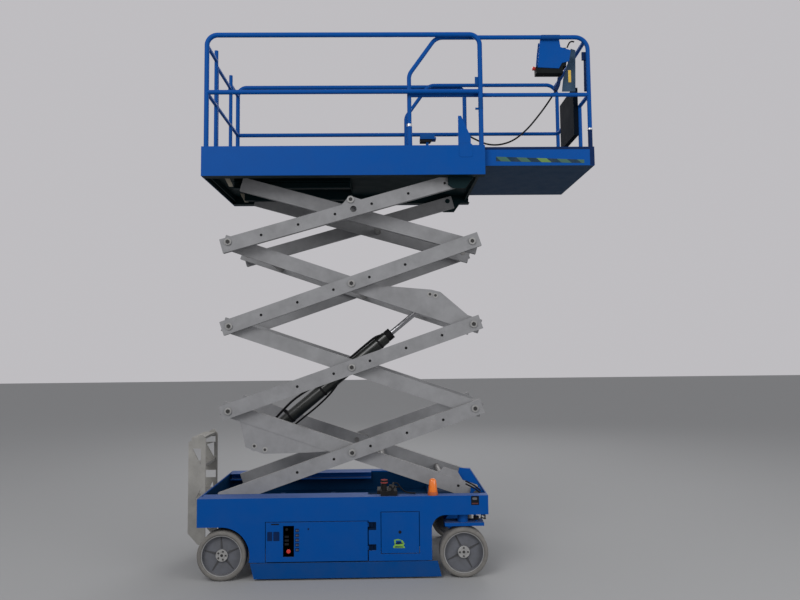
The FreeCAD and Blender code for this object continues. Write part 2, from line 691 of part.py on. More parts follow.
# access doors
for side, sign in SIDES:
    name = "access_door_" + side
    node(name, [fuse(name + "_parts", [
        box(name + "_skin", ("hatch_rear + door_gap", "hatch_front - door_gap"),
            across(sign, f"{HALF_WIDTH} - plate", HALF_WIDTH), ("hatch_bottom + door_gap", "hatch_top - door_gap")),
        rod(name + "_pin", "hatch_pin_radius", "z",
            ("hatch_front - hatch_pin_inset", at_side(sign, f"{HALF_WIDTH} - plate / 2")),
            ("hatch_bottom - plate + 1", "hatch_top + plate - 1")),
    ])])

# pothole guards
guard_y = f"{HALF_WIDTH} - guard_hinge_inset"
guard_z = "skirt_bottom - guard_hinge_drop"
for side, sign in SIDES:
    name = "pothole_guard_" + side
    top = "skirt_bottom - guard_gap"
    parts = [plate(name + "_sheet", "XZ",
                   (("-guard_rear", top), ("-guard_rear + guard_slant", "guard_bottom"),
                    ("guard_front + guard_slant", "guard_bottom"), ("guard_front", top)),
                   across(sign, f"{HALF_WIDTH} - guard_thick - 1", f"{HALF_WIDTH} - 1"))]
    bores = []
    for index, spot in enumerate(GUARD_LUGS):
        push = 1 if index == 0 else -1
        low = f"({spot}) + {push} * (plate + 2 + guard_tube_length / 2) - guard_tube_length / 2"
        span = (low, f"{low} + guard_tube_length")
        parts.append(rod(f"{name}_tube_{index}", "hinge_tube_radius - 1", "x", (at_side(sign, guard_y), guard_z), span))
        parts.append(box(f"{name}_arm_{index}", span, across(sign, guard_y, f"{HALF_WIDTH} - 2"),
                         (f"{guard_z} - hinge_tube_radius + 1", top)))
        bores.append(rod(f"{name}_bore_{index}", "hinge_pin_radius + running_gap", "x", (at_side(sign, guard_y), guard_z), span))
    node(name, [cut(name + "_cut", fuse(name + "_parts", parts), bores)])

# steering yokes with their drive motors, and the tie rod
for side, sign in SIDES:
    name = "yoke_" + side
    king = (front_x, at_side(sign, kingpin_y))
    parts = [
        box(name + "_top", (f"{front_x} - yoke_rear", f"{front_x} + yoke_front"), across(sign, "yoke_leg_inner", "yoke_outer"),
            ("yoke_bottom", "yoke_top")),
        rod(name + "_boss", "kingpin_boss", "z", king, ("yoke_top", "yoke_boss_top")),
        box(name + "_leg", (f"{front_x} - yoke_leg_half", f"{front_x} + yoke_leg_half"),
            across(sign, "yoke_leg_inner", "yoke_leg_outer"), ("yoke_leg_bottom", "yoke_bottom")),
        rod(name + "_motor", "motor_radius", "y", (front_x, "tyre_radius"),
            across(sign, "yoke_leg_inner - motor_length", "yoke_leg_inner")),
        rod(name + "_spindle", "spindle_radius", "y", (front_x, "tyre_radius"),
            across(sign, "yoke_leg_outer", f"{HALF_WIDTH} - 30")),
        rod(name + "_stud", "stud_radius", "z", (f"{front_x} + steer_arm", at_side(sign, kingpin_y)), ("yoke_top", "stud_top")),
    ]
    node(name, [cut(name + "_cut", fuse(name + "_parts", parts),
                    [rod(name + "_bore", "kingpin_radius + running_gap", "z", king, ("yoke_bottom - 1", "yoke_boss_top + 1"))])])

link = [rod("tie_rod_bar", "tie_rod_radius", "y", (f"{front_x} + steer_arm", "tie_rod_height"),
            (f"-({kingpin_y} - stud_radius - 5)", f"{kingpin_y} - stud_radius - 5"))]
holes = []
for side, sign in SIDES:
    at = (f"{front_x} + steer_arm", at_side(sign, kingpin_y))
    link.append(rod("tie_rod_eye_" + side, "tie_rod_eye", "z", at, ("tie_rod_height - 12", "tie_rod_height + 12")))
    holes.append(rod("tie_rod_bore_" + side, "stud_radius + running_gap", "z", at, ("tie_rod_height - 13", "tie_rod_height + 13")))
node("tie_rod", [cut("tie_rod_cut", fuse("tie_rod_parts", link), holes)])

# wheels
for end, wheel_x in (("front", "wheelbase / 2"), ("rear", "-wheelbase / 2")):
    for side, sign in SIDES:
        at = (wheel_x, "tyre_radius")
        name = f"{end}_{side}"
        tread = across(sign, f"{HALF_WIDTH} - tyre_width", HALF_WIDTH)
        node("tyre_" + name, [cut(f"tyre_{name}_cut", rod(f"tyre_{name}_ring", "tyre_radius", "y", at, tread),
                                  [rod(f"tyre_{name}_hole", "rim_radius", "y", at, tread)])])
        rim_low = f"{HALF_WIDTH} - tyre_width / 2 - rim_width / 2"
        rim_high = f"{HALF_WIDTH} - tyre_width / 2 + rim_width / 2"
        barrel = cut(f"rim_{name}_barrel", rod(f"rim_{name}_drum", "rim_radius - running_gap", "y", at, across(sign, rim_low, rim_high)),
                     [rod(f"rim_{name}_hollow", "rim_radius - rim_wall", "y", at, across(sign, f"{rim_low} - 1", f"{rim_high} + 1"))])
        disc = rod(f"rim_{name}_disc", "rim_radius - rim_wall / 2", "y", at,
                   across(sign, f"{rim_high} - rim_dish", f"{rim_high} - rim_dish + rim_wall"))
        hub = rod(f"rim_{name}_hub", "hub_radius", "y", at, across(sign, "yoke_leg_outer + 1", f"{HALF_WIDTH} - 28"))
        node("rim_" + name, [cut(f"rim_{name}_cut", fuse(f"rim_{name}_parts", [barrel, disc, hub]),
                                 [rod(f"rim_{name}_bore", "spindle_radius + running_gap", "y", at,
                                      across(sign, "yoke_leg_outer", HALF_WIDTH))])])

# scissor arms: outer arms lie along +x from their lower pin, inner arms along -x
ARM = "(2 * half_arm)"
RISE = "(2 * half_arm * sin(lift_angle * 1deg))"
RUN = "(2 * half_arm * cos(lift_angle * 1deg))"
LEAN = "atan(upper_half * sin(kink * 1deg) / (half_arm + upper_half * cos(kink * 1deg)))"
TOP_ARM = "sqrt(half_arm ^ 2 + upper_half ^ 2 + 2 * half_arm * upper_half * cos(kink * 1deg))"
EAR_ALONG = f"(half_arm * cos({LEAN}))"
EAR_UP = f"(half_arm * sin({LEAN}))"
outer_in = "(outer_plane - arm_width / 2)"
outer_out = "(outer_plane + arm_width / 2)"
inner_in = "(outer_plane - 3 * arm_width / 2 - plane_gap)"
inner_out = "(outer_plane - arm_width / 2 - plane_gap)"
outer4_in = "(outer_plane + arm_width / 2 + plane_gap)"
outer4_out = "(outer_plane + 3 * arm_width / 2 + plane_gap)"
inner4_in = "(outer_plane - 5 * arm_width / 2 - 2 * plane_gap)"
inner4_out = "(outer_plane - 3 * arm_width / 2 - 2 * plane_gap)"


def tube(name, sign, low, high, start, end, drop="0"):
    """A rectangular tube along an arm, open at its ends."""
    top = f"arm_depth / 2 - {drop}"
    bottom = f"-arm_depth / 2 - {drop}"
    outer = box(name + "_outer", (start, end), across(sign, low, high), (bottom, top))
    inner = box(name + "_inner", (f"({start}) - 1", f"({end}) + 1"), across(sign, f"{low} + arm_wall", f"{high} - arm_wall"),
                (f"{bottom} + arm_wall", f"{top} - arm_wall"))
    return cut(name, outer, [inner])


def lug(name, radius, along, up, sign, low, high):
    """A round boss across an arm."""
    return rod(name, radius, "y", (along, up), across(sign, low, high))


def bore(name, along, up, sign, low, high, radius="pin_radius + running_gap"):
    """A hole across an arm."""
    return rod(name, radius, "y", (along, up), across(sign, f"{low} - 1", f"{high} + 1"))


for stage in (1, 2, 3):
    arms = []
    for side, sign in SIDES:
        name = f"outer_{stage}_{side}"
        pins = ["half_arm", ARM] if stage == 1 else ["0", "half_arm", ARM]
        parts = [tube(name + "_tube", sign, outer_in, outer_out, "-arm_end", f"{ARM} + arm_end")]
        holes = []
        for index, along in enumerate(pins):
            parts.append(lug(f"{name}_boss_{index}", "boss_radius", along, "0", sign, outer_in, outer_out))
            holes.append(bore(f"{name}_bore_{index}", along, "0", sign, outer_in, outer_out))
        shift = "0.5" if stage < 3 else "-0.5"
        for index in range(-2, 3):
            holes.append(bore(f"{name}_hole_{index + 2}", f"half_arm + ({index} + {shift}) * arm_hole_pitch", "0",
                              sign, f"{outer_out} - arm_wall", outer_out, "arm_hole_radius"))
        if stage == 1:
            parts.append(lug(name + "_end", "boss_radius", "0", "0", sign, outer_in, outer_out))
            parts.append(lug(name + "_slide_pin", "slide_pin_radius", "0", "0", sign, outer_in,
                             f"{block_inner} + block_width + plane_gap / 2"))
        arms.append(cut(name, fuse(name + "_parts", parts), holes))
    node(f"outer_arms_{stage}", arms, f"fixed_pivot_x - {RUN}", f"pivot_z + {stage - 1} * {RISE}", "-lift_angle")

arms = []
for side, sign in SIDES:
    name = f"outer_4_{side}"
    parts = [
        tube(name + "_tube", sign, outer4_in, outer4_out, "-arm_end", f"{TOP_ARM} + top_arm_end", "top_arm_drop"),
        lug(name + "_foot", "boss_radius", "0", "0", sign, f"{inner_out} + seat_gap", outer4_out),
        lug(name + "_ear", "ear_radius", EAR_ALONG, EAR_UP, sign, outer4_in, outer4_out),
        plate(name + "_web", "XZ", ((f"{EAR_ALONG} - 3 * ear_radius", "arm_depth / 2 - top_arm_drop - 4"),
                                    (f"{EAR_ALONG} + 3 * ear_radius", "arm_depth / 2 - top_arm_drop - 4"),
                                    (f"{EAR_ALONG} + ear_radius * 0.8", f"{EAR_UP} + ear_radius * 0.6"),
                                    (f"{EAR_ALONG} - ear_radius * 0.8", f"{EAR_UP} + ear_radius * 0.6")),
              across(sign, outer4_in, outer4_out)),
        lug(name + "_head", "boss_radius", TOP_ARM, "0", sign, outer4_in, outer4_out),
    ]
    holes = [bore(name + "_bore_0", "0", "0", sign, inner_out, outer4_out),
             bore(name + "_bore_1", EAR_ALONG, EAR_UP, sign, outer4_in, outer4_out),
             bore(name + "_bore_2", TOP_ARM, "0", sign, outer4_in, outer4_out),
             bore(name + "_big_hole", EAR_ALONG, "-top_arm_drop", sign, outer4_in, outer4_out, "big_hole_radius")]
    for index in range(6):
        holes.append(bore(f"{name}_hole_{index}", f"{EAR_ALONG} + ({index} - 2.5) * arm_hole_pitch", "-top_arm_drop",
                          sign, f"{outer4_out} - arm_wall", outer4_out, "arm_hole_radius"))
    arms.append(cut(name, fuse(name + "_parts", parts), holes))
node("outer_arms_4", arms, f"fixed_pivot_x - {RUN}", f"pivot_z + 3 * {RISE}", f"-(lift_angle - {LEAN} / 1deg)")

for stage in (1, 2, 3):
    arms = []
    for side, sign in SIDES:
        name = f"inner_{stage}_{side}"
        near_end = "0" if stage == 1 else "arm_end"
        parts = [tube(name + "_tube", sign, inner_in, inner_out, f"-{ARM} - arm_end", near_end)]
        holes = []
        for index, along in enumerate(("0", "-half_arm", f"-{ARM}")):
            parts.append(lug(f"{name}_boss_{index}", "boss_radius", along, "0", sign, inner_in, inner_out))
            holes.append(bore(f"{name}_bore_{index}", along, "0", sign, inner_in, inner_out))
        sheet = (f"{inner_out} - gusset_thick - 3", f"{inner_out} - 3")
        if stage == 1:
            parts.append(plate(name + "_gusset", "XZ",
                               ((f"-low_pin_along - 180", "-arm_depth / 2 + 10"), ("-low_pin_along - 62", "-low_pin_across - 32"),
                                ("-low_pin_along + 90", "-low_pin_across - 36"), ("-low_pin_along + 430", "-arm_depth / 2 - 60"),
                                ("-low_pin_along + 600", "-arm_depth / 2 + 10")), across(sign, *sheet)))
            parts.append(lug(name + "_gusset_boss", "gusset_boss_radius", "-low_pin_along", "-low_pin_across", sign,
                             "gusset_boss_inner", sheet[1]))
        if stage == 1 and side == "right":
            parts.append(plate(name + "_shoulder", "XZ",
                               (("-335", "arm_depth / 2 - 10"), ("-306", "arm_depth / 2 + 55"), ("-192", "arm_depth / 2 + 58"),
                                ("-122", "arm_depth / 2 - 2"), ("-122", "arm_depth / 2 - 10")), across(sign, *sheet)))
            holes.append(bore(name + "_shoulder_hole", "-150", "8", sign, f"{inner_out} - arm_wall", inner_out,
                              "arm_hole_radius"))
        if stage == 3:
            parts.append(plate(name + "_gusset", "XZ",
                               (("-high_pin_along + 325", "arm_depth / 2 - 10"), ("-high_pin_along + 30", "high_pin_across + 40"),
                                ("-high_pin_along - 50", "high_pin_across + 34"), ("-high_pin_along - 390", "arm_depth / 2 + 20"),
                                ("-high_pin_along - 440", "arm_depth / 2 - 10")), across(sign, *sheet)))
            parts.append(plate(name + "_pin_plate", "XZ",
                               (("-high_pin_along - 60", "-30"), ("-high_pin_along + 60", "-30"),
                                ("-high_pin_along + 45", "high_pin_across + 40"), ("-high_pin_along - 45", "high_pin_across + 40")),
                               across(sign, f"{inner4_in} - pin_plate_gap - gusset_thick", f"{inner4_in} - pin_plate_gap")))
            parts.append(lug(name + "_pin_tie", "cross_tube_radius", "-high_pin_along", "0", sign,
                             f"{inner4_in} - pin_plate_gap - 1", f"{inner_in} + arm_wall - 1"))
            parts.append(lug(name + "_gusset_boss", "gusset_boss_radius", "-high_pin_along", "high_pin_across", sign,
                             "gusset_boss_inner", f"{inner4_in} - pin_plate_gap - 1"))
            holes.append(bore(name + "_gusset_bore", "-high_pin_along", "high_pin_across", sign, "gusset_boss_inner",
                              "rod_pin_half", "cylinder_pin_radius + running_gap"))
        arms.append(cut(name, fuse(name + "_parts", parts), holes))
    node(f"inner_arms_{stage}", arms, "fixed_pivot_x", f"pivot_z + {stage - 1} * {RISE}", "lift_angle")

arms = []
for side, sign in SIDES:
    name = f"inner_4_{side}"
    parts = [
        tube(name + "_tube", sign, inner4_in, inner4_out, f"-{TOP_ARM} - top_arm_end", "arm_end", "top_arm_drop"),
        lug(name + "_foot", "boss_radius", "0", "0", sign, inner4_in, f"{inner_out}"),
        lug(name + "_ear", "ear_radius", f"-{EAR_ALONG}", EAR_UP, sign, inner4_in, f"{outer4_in} - plane_gap"),
        plate(name + "_web", "XZ", ((f"-{EAR_ALONG} - 3 * ear_radius", "arm_depth / 2 - top_arm_drop - 4"),
                                    (f"-{EAR_ALONG} + 3 * ear_radius", "arm_depth / 2 - top_arm_drop - 4"),
                                    (f"-{EAR_ALONG} + ear_radius * 0.8", f"{EAR_UP} + ear_radius * 0.6"),
                                    (f"-{EAR_ALONG} - ear_radius * 0.8", f"{EAR_UP} + ear_radius * 0.6")),
              across(sign, inner4_in, inner4_out)),
        lug(name + "_head", "boss_radius", f"-{TOP_ARM}", "0", sign, inner4_in, inner4_out),
        lug(name + "_slide_pin", "slide_pin_radius", f"-{TOP_ARM}", "0", sign,
            f"{inner4_in} - plane_gap - block_width - 2", inner4_in),
    ]
    holes = [bore(name + "_bore_0", "0", "0", sign, inner4_in, inner_out),
             bore(name + "_bore_1", f"-{EAR_ALONG}", EAR_UP, sign, inner4_in, outer4_in)]
    arms.append(cut(name, fuse(name + "_parts", parts), holes))
node("inner_arms_4", arms, "fixed_pivot_x", f"pivot_z + 3 * {RISE}", f"lift_angle - {LEAN} / 1deg")

# pivot pins and cross tubes, which turn with the inner arms
PIN = "pin_radius"


def stub(name, along, up, sign, low, high, head):
    """A pivot pin, with a head where it ends outside an arm."""
    shaft = rod(name + "_shaft", PIN, "y", (along, up), across(sign, low, high))
    if not head:
        return shaft
    disc = rod(name + "_disc", "head_radius", "y", (along, up), across(sign, f"{high}", f"{high} + head_thick"))
    return fuse(name, [shaft, disc])


CROSS_TUBES = {1: ("280", "800"), 2: ("280", "1750"), 3: ("950", "1750"), 4: ("150", "800")}
for stage in (1, 2, 3, 4):
    pieces = []
    drop = {3: "25", 4: "top_arm_drop"}.get(stage, "0")
    inside = inner4_in if stage == 4 else inner_in
    for index, along in enumerate(CROSS_TUBES[stage]):
        pieces.append(rod(f"cross_tube_{stage}_{index}", "cross_tube_radius", "y", (f"-{along}", f"-{drop}"),
                          (f"-{inside}", inside)))
    for side, sign in SIDES:
        name = f"pin_{stage}_{side}"
        low = f"{inside} - 4"
        if stage == 1:
            pieces.append(stub(name + "_low", "0", "0", sign, f"{inner_in} - plane_gap - 14 - 2",
                               f"{inner_out} + plane_gap + 14 + 2", False))
        else:
            pieces.append(stub(name + "_low", "0", "0", sign, low, f"{outer_out} + seat_gap", True))
        if stage < 4:
            pieces.append(stub(name + "_mid", "-half_arm", "0", sign, low, f"{outer_out} + seat_gap", True))
            far = f"{outer4_out} + seat_gap" if stage == 3 else f"{outer_out} + seat_gap"
            pieces.append(stub(name + "_high", f"-{ARM}", "0", sign, low, far, True))
        else:
            pieces.append(stub(name + "_mid", f"-{EAR_ALONG}", EAR_UP, sign, low, f"{outer4_out} + seat_gap", True))
    turn = f"lift_angle - {LEAN} / 1deg" if stage == 4 else "lift_angle"
    node(f"pivot_pins_{stage}", pieces, "fixed_pivot_x", f"pivot_z + {stage - 1} * {RISE}", turn)

# slide blocks
TOP_ANGLE = f"(lift_angle * 1deg - {LEAN})"
LOW_SLIDE_X = f"(fixed_pivot_x - {RUN})"
HIGH_Z = f"(pivot_z + 3 * {RISE} + {TOP_ARM} * sin({TOP_ANGLE}))"
HIGH_SLIDE_X = f"(fixed_pivot_x - {TOP_ARM} * cos({TOP_ANGLE}))"
PLATFORM_X = f"(fixed_pivot_x - {RUN} + {TOP_ARM} * cos({TOP_ANGLE}))"
lower = []
upper = []
for side, sign in SIDES:
    for blocks, name, x, z, low in ((lower, "lower_block", LOW_SLIDE_X, "pivot_z", block_inner),
                                    (upper, "upper_block", HIGH_SLIDE_X, HIGH_Z, f"{inner4_in} - plane_gap - block_width")):
        name = f"{name}_{side}"
        blocks.append(cut(name, box(name + "_body", (f"{x} - block_half_length", f"{x} + block_half_length"),
                                    across(sign, low, f"{low} + block_width"),
                                    (f"{z} - block_half_height", f"{z} + block_half_height")),
                          [rod(name + "_bore", "slide_pin_radius + running_gap", "y", (x, z), across(sign, f"{low} - 1", f"{low} + block_width + 1"))]))
node("lower_slide_blocks", lower)
node("upper_slide_blocks", upper)

# lift cylinder, built along +x from its lower eye
LOW_X = "(fixed_pivot_x - low_pin_along * cos(lift_angle * 1deg) - low_pin_across * sin(lift_angle * 1deg))"
LOW_Z = "(pivot_z + low_pin_along * sin(lift_angle * 1deg) - low_pin_across * cos(lift_angle * 1deg))"
TOP_X = "(fixed_pivot_x - high_pin_along * cos(lift_angle * 1deg) + high_pin_across * sin(lift_angle * 1deg))"
TOP_Z = f"(pivot_z + 2 * {RISE} + high_pin_along * sin(lift_angle * 1deg) + high_pin_across * cos(lift_angle * 1deg))"
REACH = f"sqrt(({TOP_X} - {LOW_X}) ^ 2 + ({TOP_Z} - {LOW_Z}) ^ 2)"
CLIMB = f"-atan(({TOP_Z} - {LOW_Z}) / ({TOP_X} - {LOW_X})) / 1deg"
eye = ("-eye_half_width", "eye_half_width")
barrel = cut("barrel_cut", fuse("barrel_parts", [
    rod("barrel_tube", "barrel_radius", "x", ("0", "0"), ("eye_radius", "barrel_length - collar_length")),
    rod("barrel_collar", "collar_radius", "x", ("0", "0"), ("eye_radius + 1", "barrel_length")),
    rod("barrel_eye", "eye_radius", "y", ("0", "0"), eye),
    box("barrel_neck", ("0", "eye_radius + 10"), eye, ("-eye_radius * 0.6", "eye_radius * 0.6")),
    rod("barrel_pin", "cylinder_pin_radius", "y", ("0", "0"),
        ("seat_gap - gusset_boss_inner", "gusset_boss_inner - seat_gap")),
]), [rod("barrel_hollow", "barrel_bore", "x", ("0", "0"), ("eye_radius + 20", "barrel_length - collar_length")),
     rod("barrel_gland", "rod_radius + running_gap", "x", ("0", "0"), ("barrel_length - collar_length - 1", "barrel_length + 1"))])
node("cylinder_barrel", [barrel], LOW_X, LOW_Z, CLIMB)
ram = fuse("rod_parts", [
    rod("rod_bar", "rod_radius", "x", ("0", "0"), ("-rod_length", "-eye_radius / 2")),
    rod("rod_eye", "eye_radius", "y", ("0", "0"), eye),
    rod("rod_pin", "cylinder_pin_radius", "y", ("0", "0"), ("-rod_pin_half", "rod_pin_half")),
])
node("cylinder_rod", [ram], TOP_X, TOP_Z, CLIMB)

# platform deck and frame
side_in = "platform_half_width - plate"
deck_sheet = box("deck_sheet", ("-platform_rear + plate", "platform_front"), (f"-({side_in})", side_in),
                 ("deck_top - deck_plate", "deck_top"))
fascia = [box("fascia_rear", ("-platform_rear", "-platform_rear + plate"), ("-platform_half_width", "platform_half_width"),
              ("fascia_bottom", "fascia_top"))]
for side, sign in SIDES:
    fascia.append(box("fascia_" + side, ("-platform_rear", "platform_front"), across(sign, side_in, "platform_half_width"),
                      ("fascia_bottom", "fascia_top")))

deck_under = "deck_top - deck_plate"
frame = [deck_sheet, box("frame_front", ("platform_front - 50", "platform_front - 42"), ("-beam_plane", "beam_plane"),
             ("fascia_bottom + 22", deck_under)),
         box("frame_rear", ("-platform_rear + 30", "-platform_rear + 38"), ("-beam_plane", "beam_plane"),
             ("fascia_bottom + 22", deck_under))]
for side, sign in SIDES:
    frame.append(box("frame_web_" + side, ("-platform_rear + 30", "platform_front - 42"),
                     across(sign, "beam_plane", "beam_plane + plate"), ("fascia_bottom", deck_under)))
    frame.append(box("frame_flange_" + side, ("-platform_rear + plate", "platform_front"),
                     across(sign, "beam_plane", side_in), ("fascia_bottom", "fascia_bottom + plate")))
    frame.append(plate("frame_pivot_" + side, "XZ",
                       ((f"{PLATFORM_X} - 75", deck_under), (f"{PLATFORM_X} - 75", f"{HIGH_Z} - hanger_drop + 30"),
                        (f"{PLATFORM_X} - 35", f"{HIGH_Z} - hanger_drop"), (f"{PLATFORM_X} + 65", f"{HIGH_Z} - hanger_drop"),
                        (f"{PLATFORM_X} + 130", "fascia_bottom"), (f"{PLATFORM_X} + 130", deck_under)),
                       across(sign, f"{outer4_out} + plane_gap", "beam_plane")))
    frame.append(rod("frame_pin_" + side, "pin_radius", "y", (PLATFORM_X, HIGH_Z),
                     across(sign, f"{outer4_in} - 2", "beam_plane")))
    low = f"{inner4_in} - plane_gap - block_width"
    span = (f"{HIGH_SLIDE_X} - 3 * block_half_length", f"{PLATFORM_X} - upper_half")
    web = across(sign, f"{low} - 4 - channel_wall", f"{low} - 4")
    lips = across(sign, f"{low} - 4", f"{low} + block_width - 2")
    frame.append(box("frame_channel_web_" + side, span, web,
                     (f"{HIGH_Z} - block_half_height - slide_gap - channel_wall", deck_under)))
    frame.append(box("frame_channel_floor_" + side, span, lips,
                     (f"{HIGH_Z} - block_half_height - slide_gap - channel_wall", f"{HIGH_Z} - block_half_height - slide_gap")))
    frame.append(box("frame_channel_roof_" + side, span, lips,
                     (f"{HIGH_Z} + block_half_height + slide_gap", f"{HIGH_Z} + block_half_height + slide_gap + channel_wall")))
for index, spot in enumerate((f"{HIGH_SLIDE_X} - 3 * block_half_length", f"{PLATFORM_X} - upper_half - plate")):
    frame.append(box(f"frame_tie_{index}", (spot, f"{spot} + plate"), (f"-({inner4_in} - 60)", f"{inner4_in} - 60"),
                     (f"{deck_under} - 40", deck_under)))
node("platform_deck", [fuse("frame_parts", fascia + frame)])

# platform guard rails
rails = []
rail_y = "platform_half_width - plate - rail_radius"
for side, sign in SIDES:
    name = "guard_rail_" + side
    y = at_side(sign, rail_y)
    bars = [
        pipe(name + "_loop", (("-post_rear", y, "deck_top"), ("-post_rear", y, "rail_top"), ("post_front", y, "rail_top"),
                              ("post_front", y, "deck_top")), "rail_radius", "rail_bend"),
        rod(name + "_mid", "rail_radius - 1", "x", (y, "rail_mid"), ("-post_rear", "post_front")),
        rod(name + "_gate_post", "gate_post_radius", "z", ("-post_rear", at_side(sign, "gate_half")), ("deck_top", "rail_top")),
    ]
    for level in ("rail_top - rail_bend", "rail_mid"):
        bars.append(rod(f"{name}_rear_{level[5:8]}", "gate_post_radius - 1", "y", ("-post_rear", level),
                        across(sign, "gate_half", rail_y)))
    rails.append(fuse(name + "_parts", bars))
node("guard_rails", rails)

gate = [rod("gate_stile", "gate_bar_radius - 1", "z", ("-post_rear", "-gate_half + gate_post_radius + 20"), ("gate_bottom", "gate_top"))]
for level in ("gate_top", "rail_mid", "gate_bottom"):
    gate.append(rod("gate_bar_" + level, "gate_bar_radius", "y", ("-post_rear", level),
                    ("-gate_half + gate_post_radius + 20", "gate_half - gate_post_radius - 2")))
rings = []
for level in ("gate_top", "gate_bottom"):
    gate.append(rod("gate_ring_" + level, "gate_post_radius + 8", "z", ("-post_rear", "gate_half"), (f"{level} - 18", f"{level} + 18")))
    rings.append(rod("gate_bore_" + level, "gate_post_radius + running_gap", "z", ("-post_rear", "gate_half"),
                     (f"{level} - 19", f"{level} + 19")))
node("entry_gate", [cut("gate_cut", fuse("gate_parts", gate), rings)])

# roll-out extension deck
ext_front = "platform_front + ext_reach"
ext_rear = "platform_front + ext_reach - ext_length"
deck = [
    box("ext_sheet", (ext_rear, ext_front), ("-ext_half_width", "ext_half_width"), ("ext_deck", "ext_deck + ext_plate")),
    box("ext_board_front", (f"{ext_front} - ext_plate", ext_front), ("-ext_half_width", "ext_half_width"),
        ("ext_deck", "ext_board_top")),
]
for side, sign in SIDES:
    deck.append(box("ext_board_" + side, (ext_rear, ext_front), across(sign, "ext_half_width - ext_plate", "ext_half_width"),
                    ("ext_deck", "ext_board_top")))
    deck.append(box("ext_runner_" + side, (ext_rear, "platform_front"), across(sign, "ext_half_width - 60", "ext_half_width - 10"),
                    ("deck_top + seat_gap", "ext_deck")))
node("extension_deck", [fuse("ext_deck_parts", deck)])

ext_y = "ext_half_width - ext_plate - ext_rail_radius"
ext_x = f"{ext_front} - ext_plate - ext_rail_radius"
ext_floor = "ext_deck + ext_plate"
bars = []
for side, sign in SIDES:
    name = "extension_rail_" + side
    y = at_side(sign, ext_y)
    bars.extend([
        pipe(name + "_loop", (("ext_post_rear", y, ext_floor), ("ext_post_rear", y, "ext_slope_low"),
                              ("ext_slope_top", y, "rail_top - 2"), (ext_x, y, "rail_top - 2"), (ext_x, y, ext_floor)),
             "ext_rail_radius", "ext_bend"),
        rod(name + "_mid", "ext_rail_radius - 1", "x", (y, "rail_mid - 13"), ("ext_post_rear", ext_x)),
        rod(name + "_sleeve", "ext_rail_radius + 4", "z", ("ext_post_rear", at_side(sign, f"{ext_y} - 4 - seat_gap")),
            (ext_floor, "ext_board_top + 200")),
    ])
for level, bar_x in (("ext_front_bar", f"{ext_x} - ext_bar_back"), ("rail_mid - 13", ext_x)):
    bars.append(rod("ext_bar_" + level[:8], "ext_rail_radius - 1", "y", (bar_x, level),
                    (f"-({ext_y} - ext_rail_radius)", f"{ext_y} - ext_rail_radius")))
for side, sign in SIDES:
    bars.append(rod("ext_front_post_" + side, "gate_post_radius", "z", (ext_x, at_side(sign, "ext_front_post")),
                    (ext_floor, "rail_mid - 13")))
node("extension_rails", [fuse("ext_rail_parts", bars)])

# controls on the extension
PLATE_OUTLINE = ((404, 3), (252, 3), (241, 77), (158, 103), (174, 195), (232, 208), (258, 254), (430, 245), (419, 119))
node("platform_controls", [fuse("platform_controls_parts", [
    plate("controls_plate", "XZ", [(f"{ext_front} - {back}", f"rail_top - {down}") for back, down in PLATE_OUTLINE],
          (f"-({ext_y} - ext_rail_radius)", f"-({ext_y} - ext_rail_radius - 8)")),
    box("controls_case", (f"{ext_front} - 434", f"{ext_front} - 224"),
        (f"-({ext_y} - ext_rail_radius - 8)", f"-({ext_y} - ext_rail_radius - 83)"), ("rail_top - 293", "rail_top - 233")),
    box("controls_cheek", (f"{ext_front} - 344", f"{ext_front} - 194"),
        (f"-({ext_y} - ext_rail_radius - 8)", f"-({ext_y} - ext_rail_radius - 87)"), ("rail_top - 233", "rail_top - 78")),
])])
box_back = f"{ext_x} - gate_post_radius - seat_gap"
node("manual_box", [box("manual_case", (f"{box_back} - 40", box_back), ("-ext_front_post - 10", "ext_front_post - 41"),
                        ("rail_mid - 264", "rail_mid + 148"))])
pedal_out = "ext_half_width - 27.5"
node("extension_pedal", [fuse("pedal_parts", [
    box("pedal_foot", (f"{ext_rear} + 150", f"{ext_rear} + 230"), across(-1, f"{pedal_out} - 80", pedal_out),
        (ext_floor, f"{ext_floor} + 10")),
    box("pedal_post", (f"{ext_rear} + 180", f"{ext_rear} + 200"), across(-1, f"{pedal_out} - 60", f"{pedal_out} - 20"),
        (f"{ext_floor} + 10", f"{ext_floor} + 240")),
    box("pedal_plate", (f"{ext_rear} + 130", f"{ext_rear} + 260"), across(-1, f"{pedal_out} - 80", pedal_out),
        (f"{ext_floor} + 225", f"{ext_floor} + 240")),
])])
lever_in = f"{side_in} - 10"
node("rail_lever", [fuse("lever_parts", [
    plate("lever_sheet", "XZ", (("platform_front - 212", "deck_top"), ("platform_front - 111", "deck_top"),
                                ("platform_front - 111", "fascia_top + 69"), ("platform_front - 139", "fascia_top + 134"),
                                ("platform_front - 185", "fascia_top + 241"), ("platform_front - 210", "fascia_top + 241")),
          (f"-({side_in})", f"-({lever_in})")),
    rod("lever_gland", "cable_gland", "y", ("cable_end_x", "cable_end_z"), (f"-({lever_in})", f"-({lever_in} - 36)")),
])])

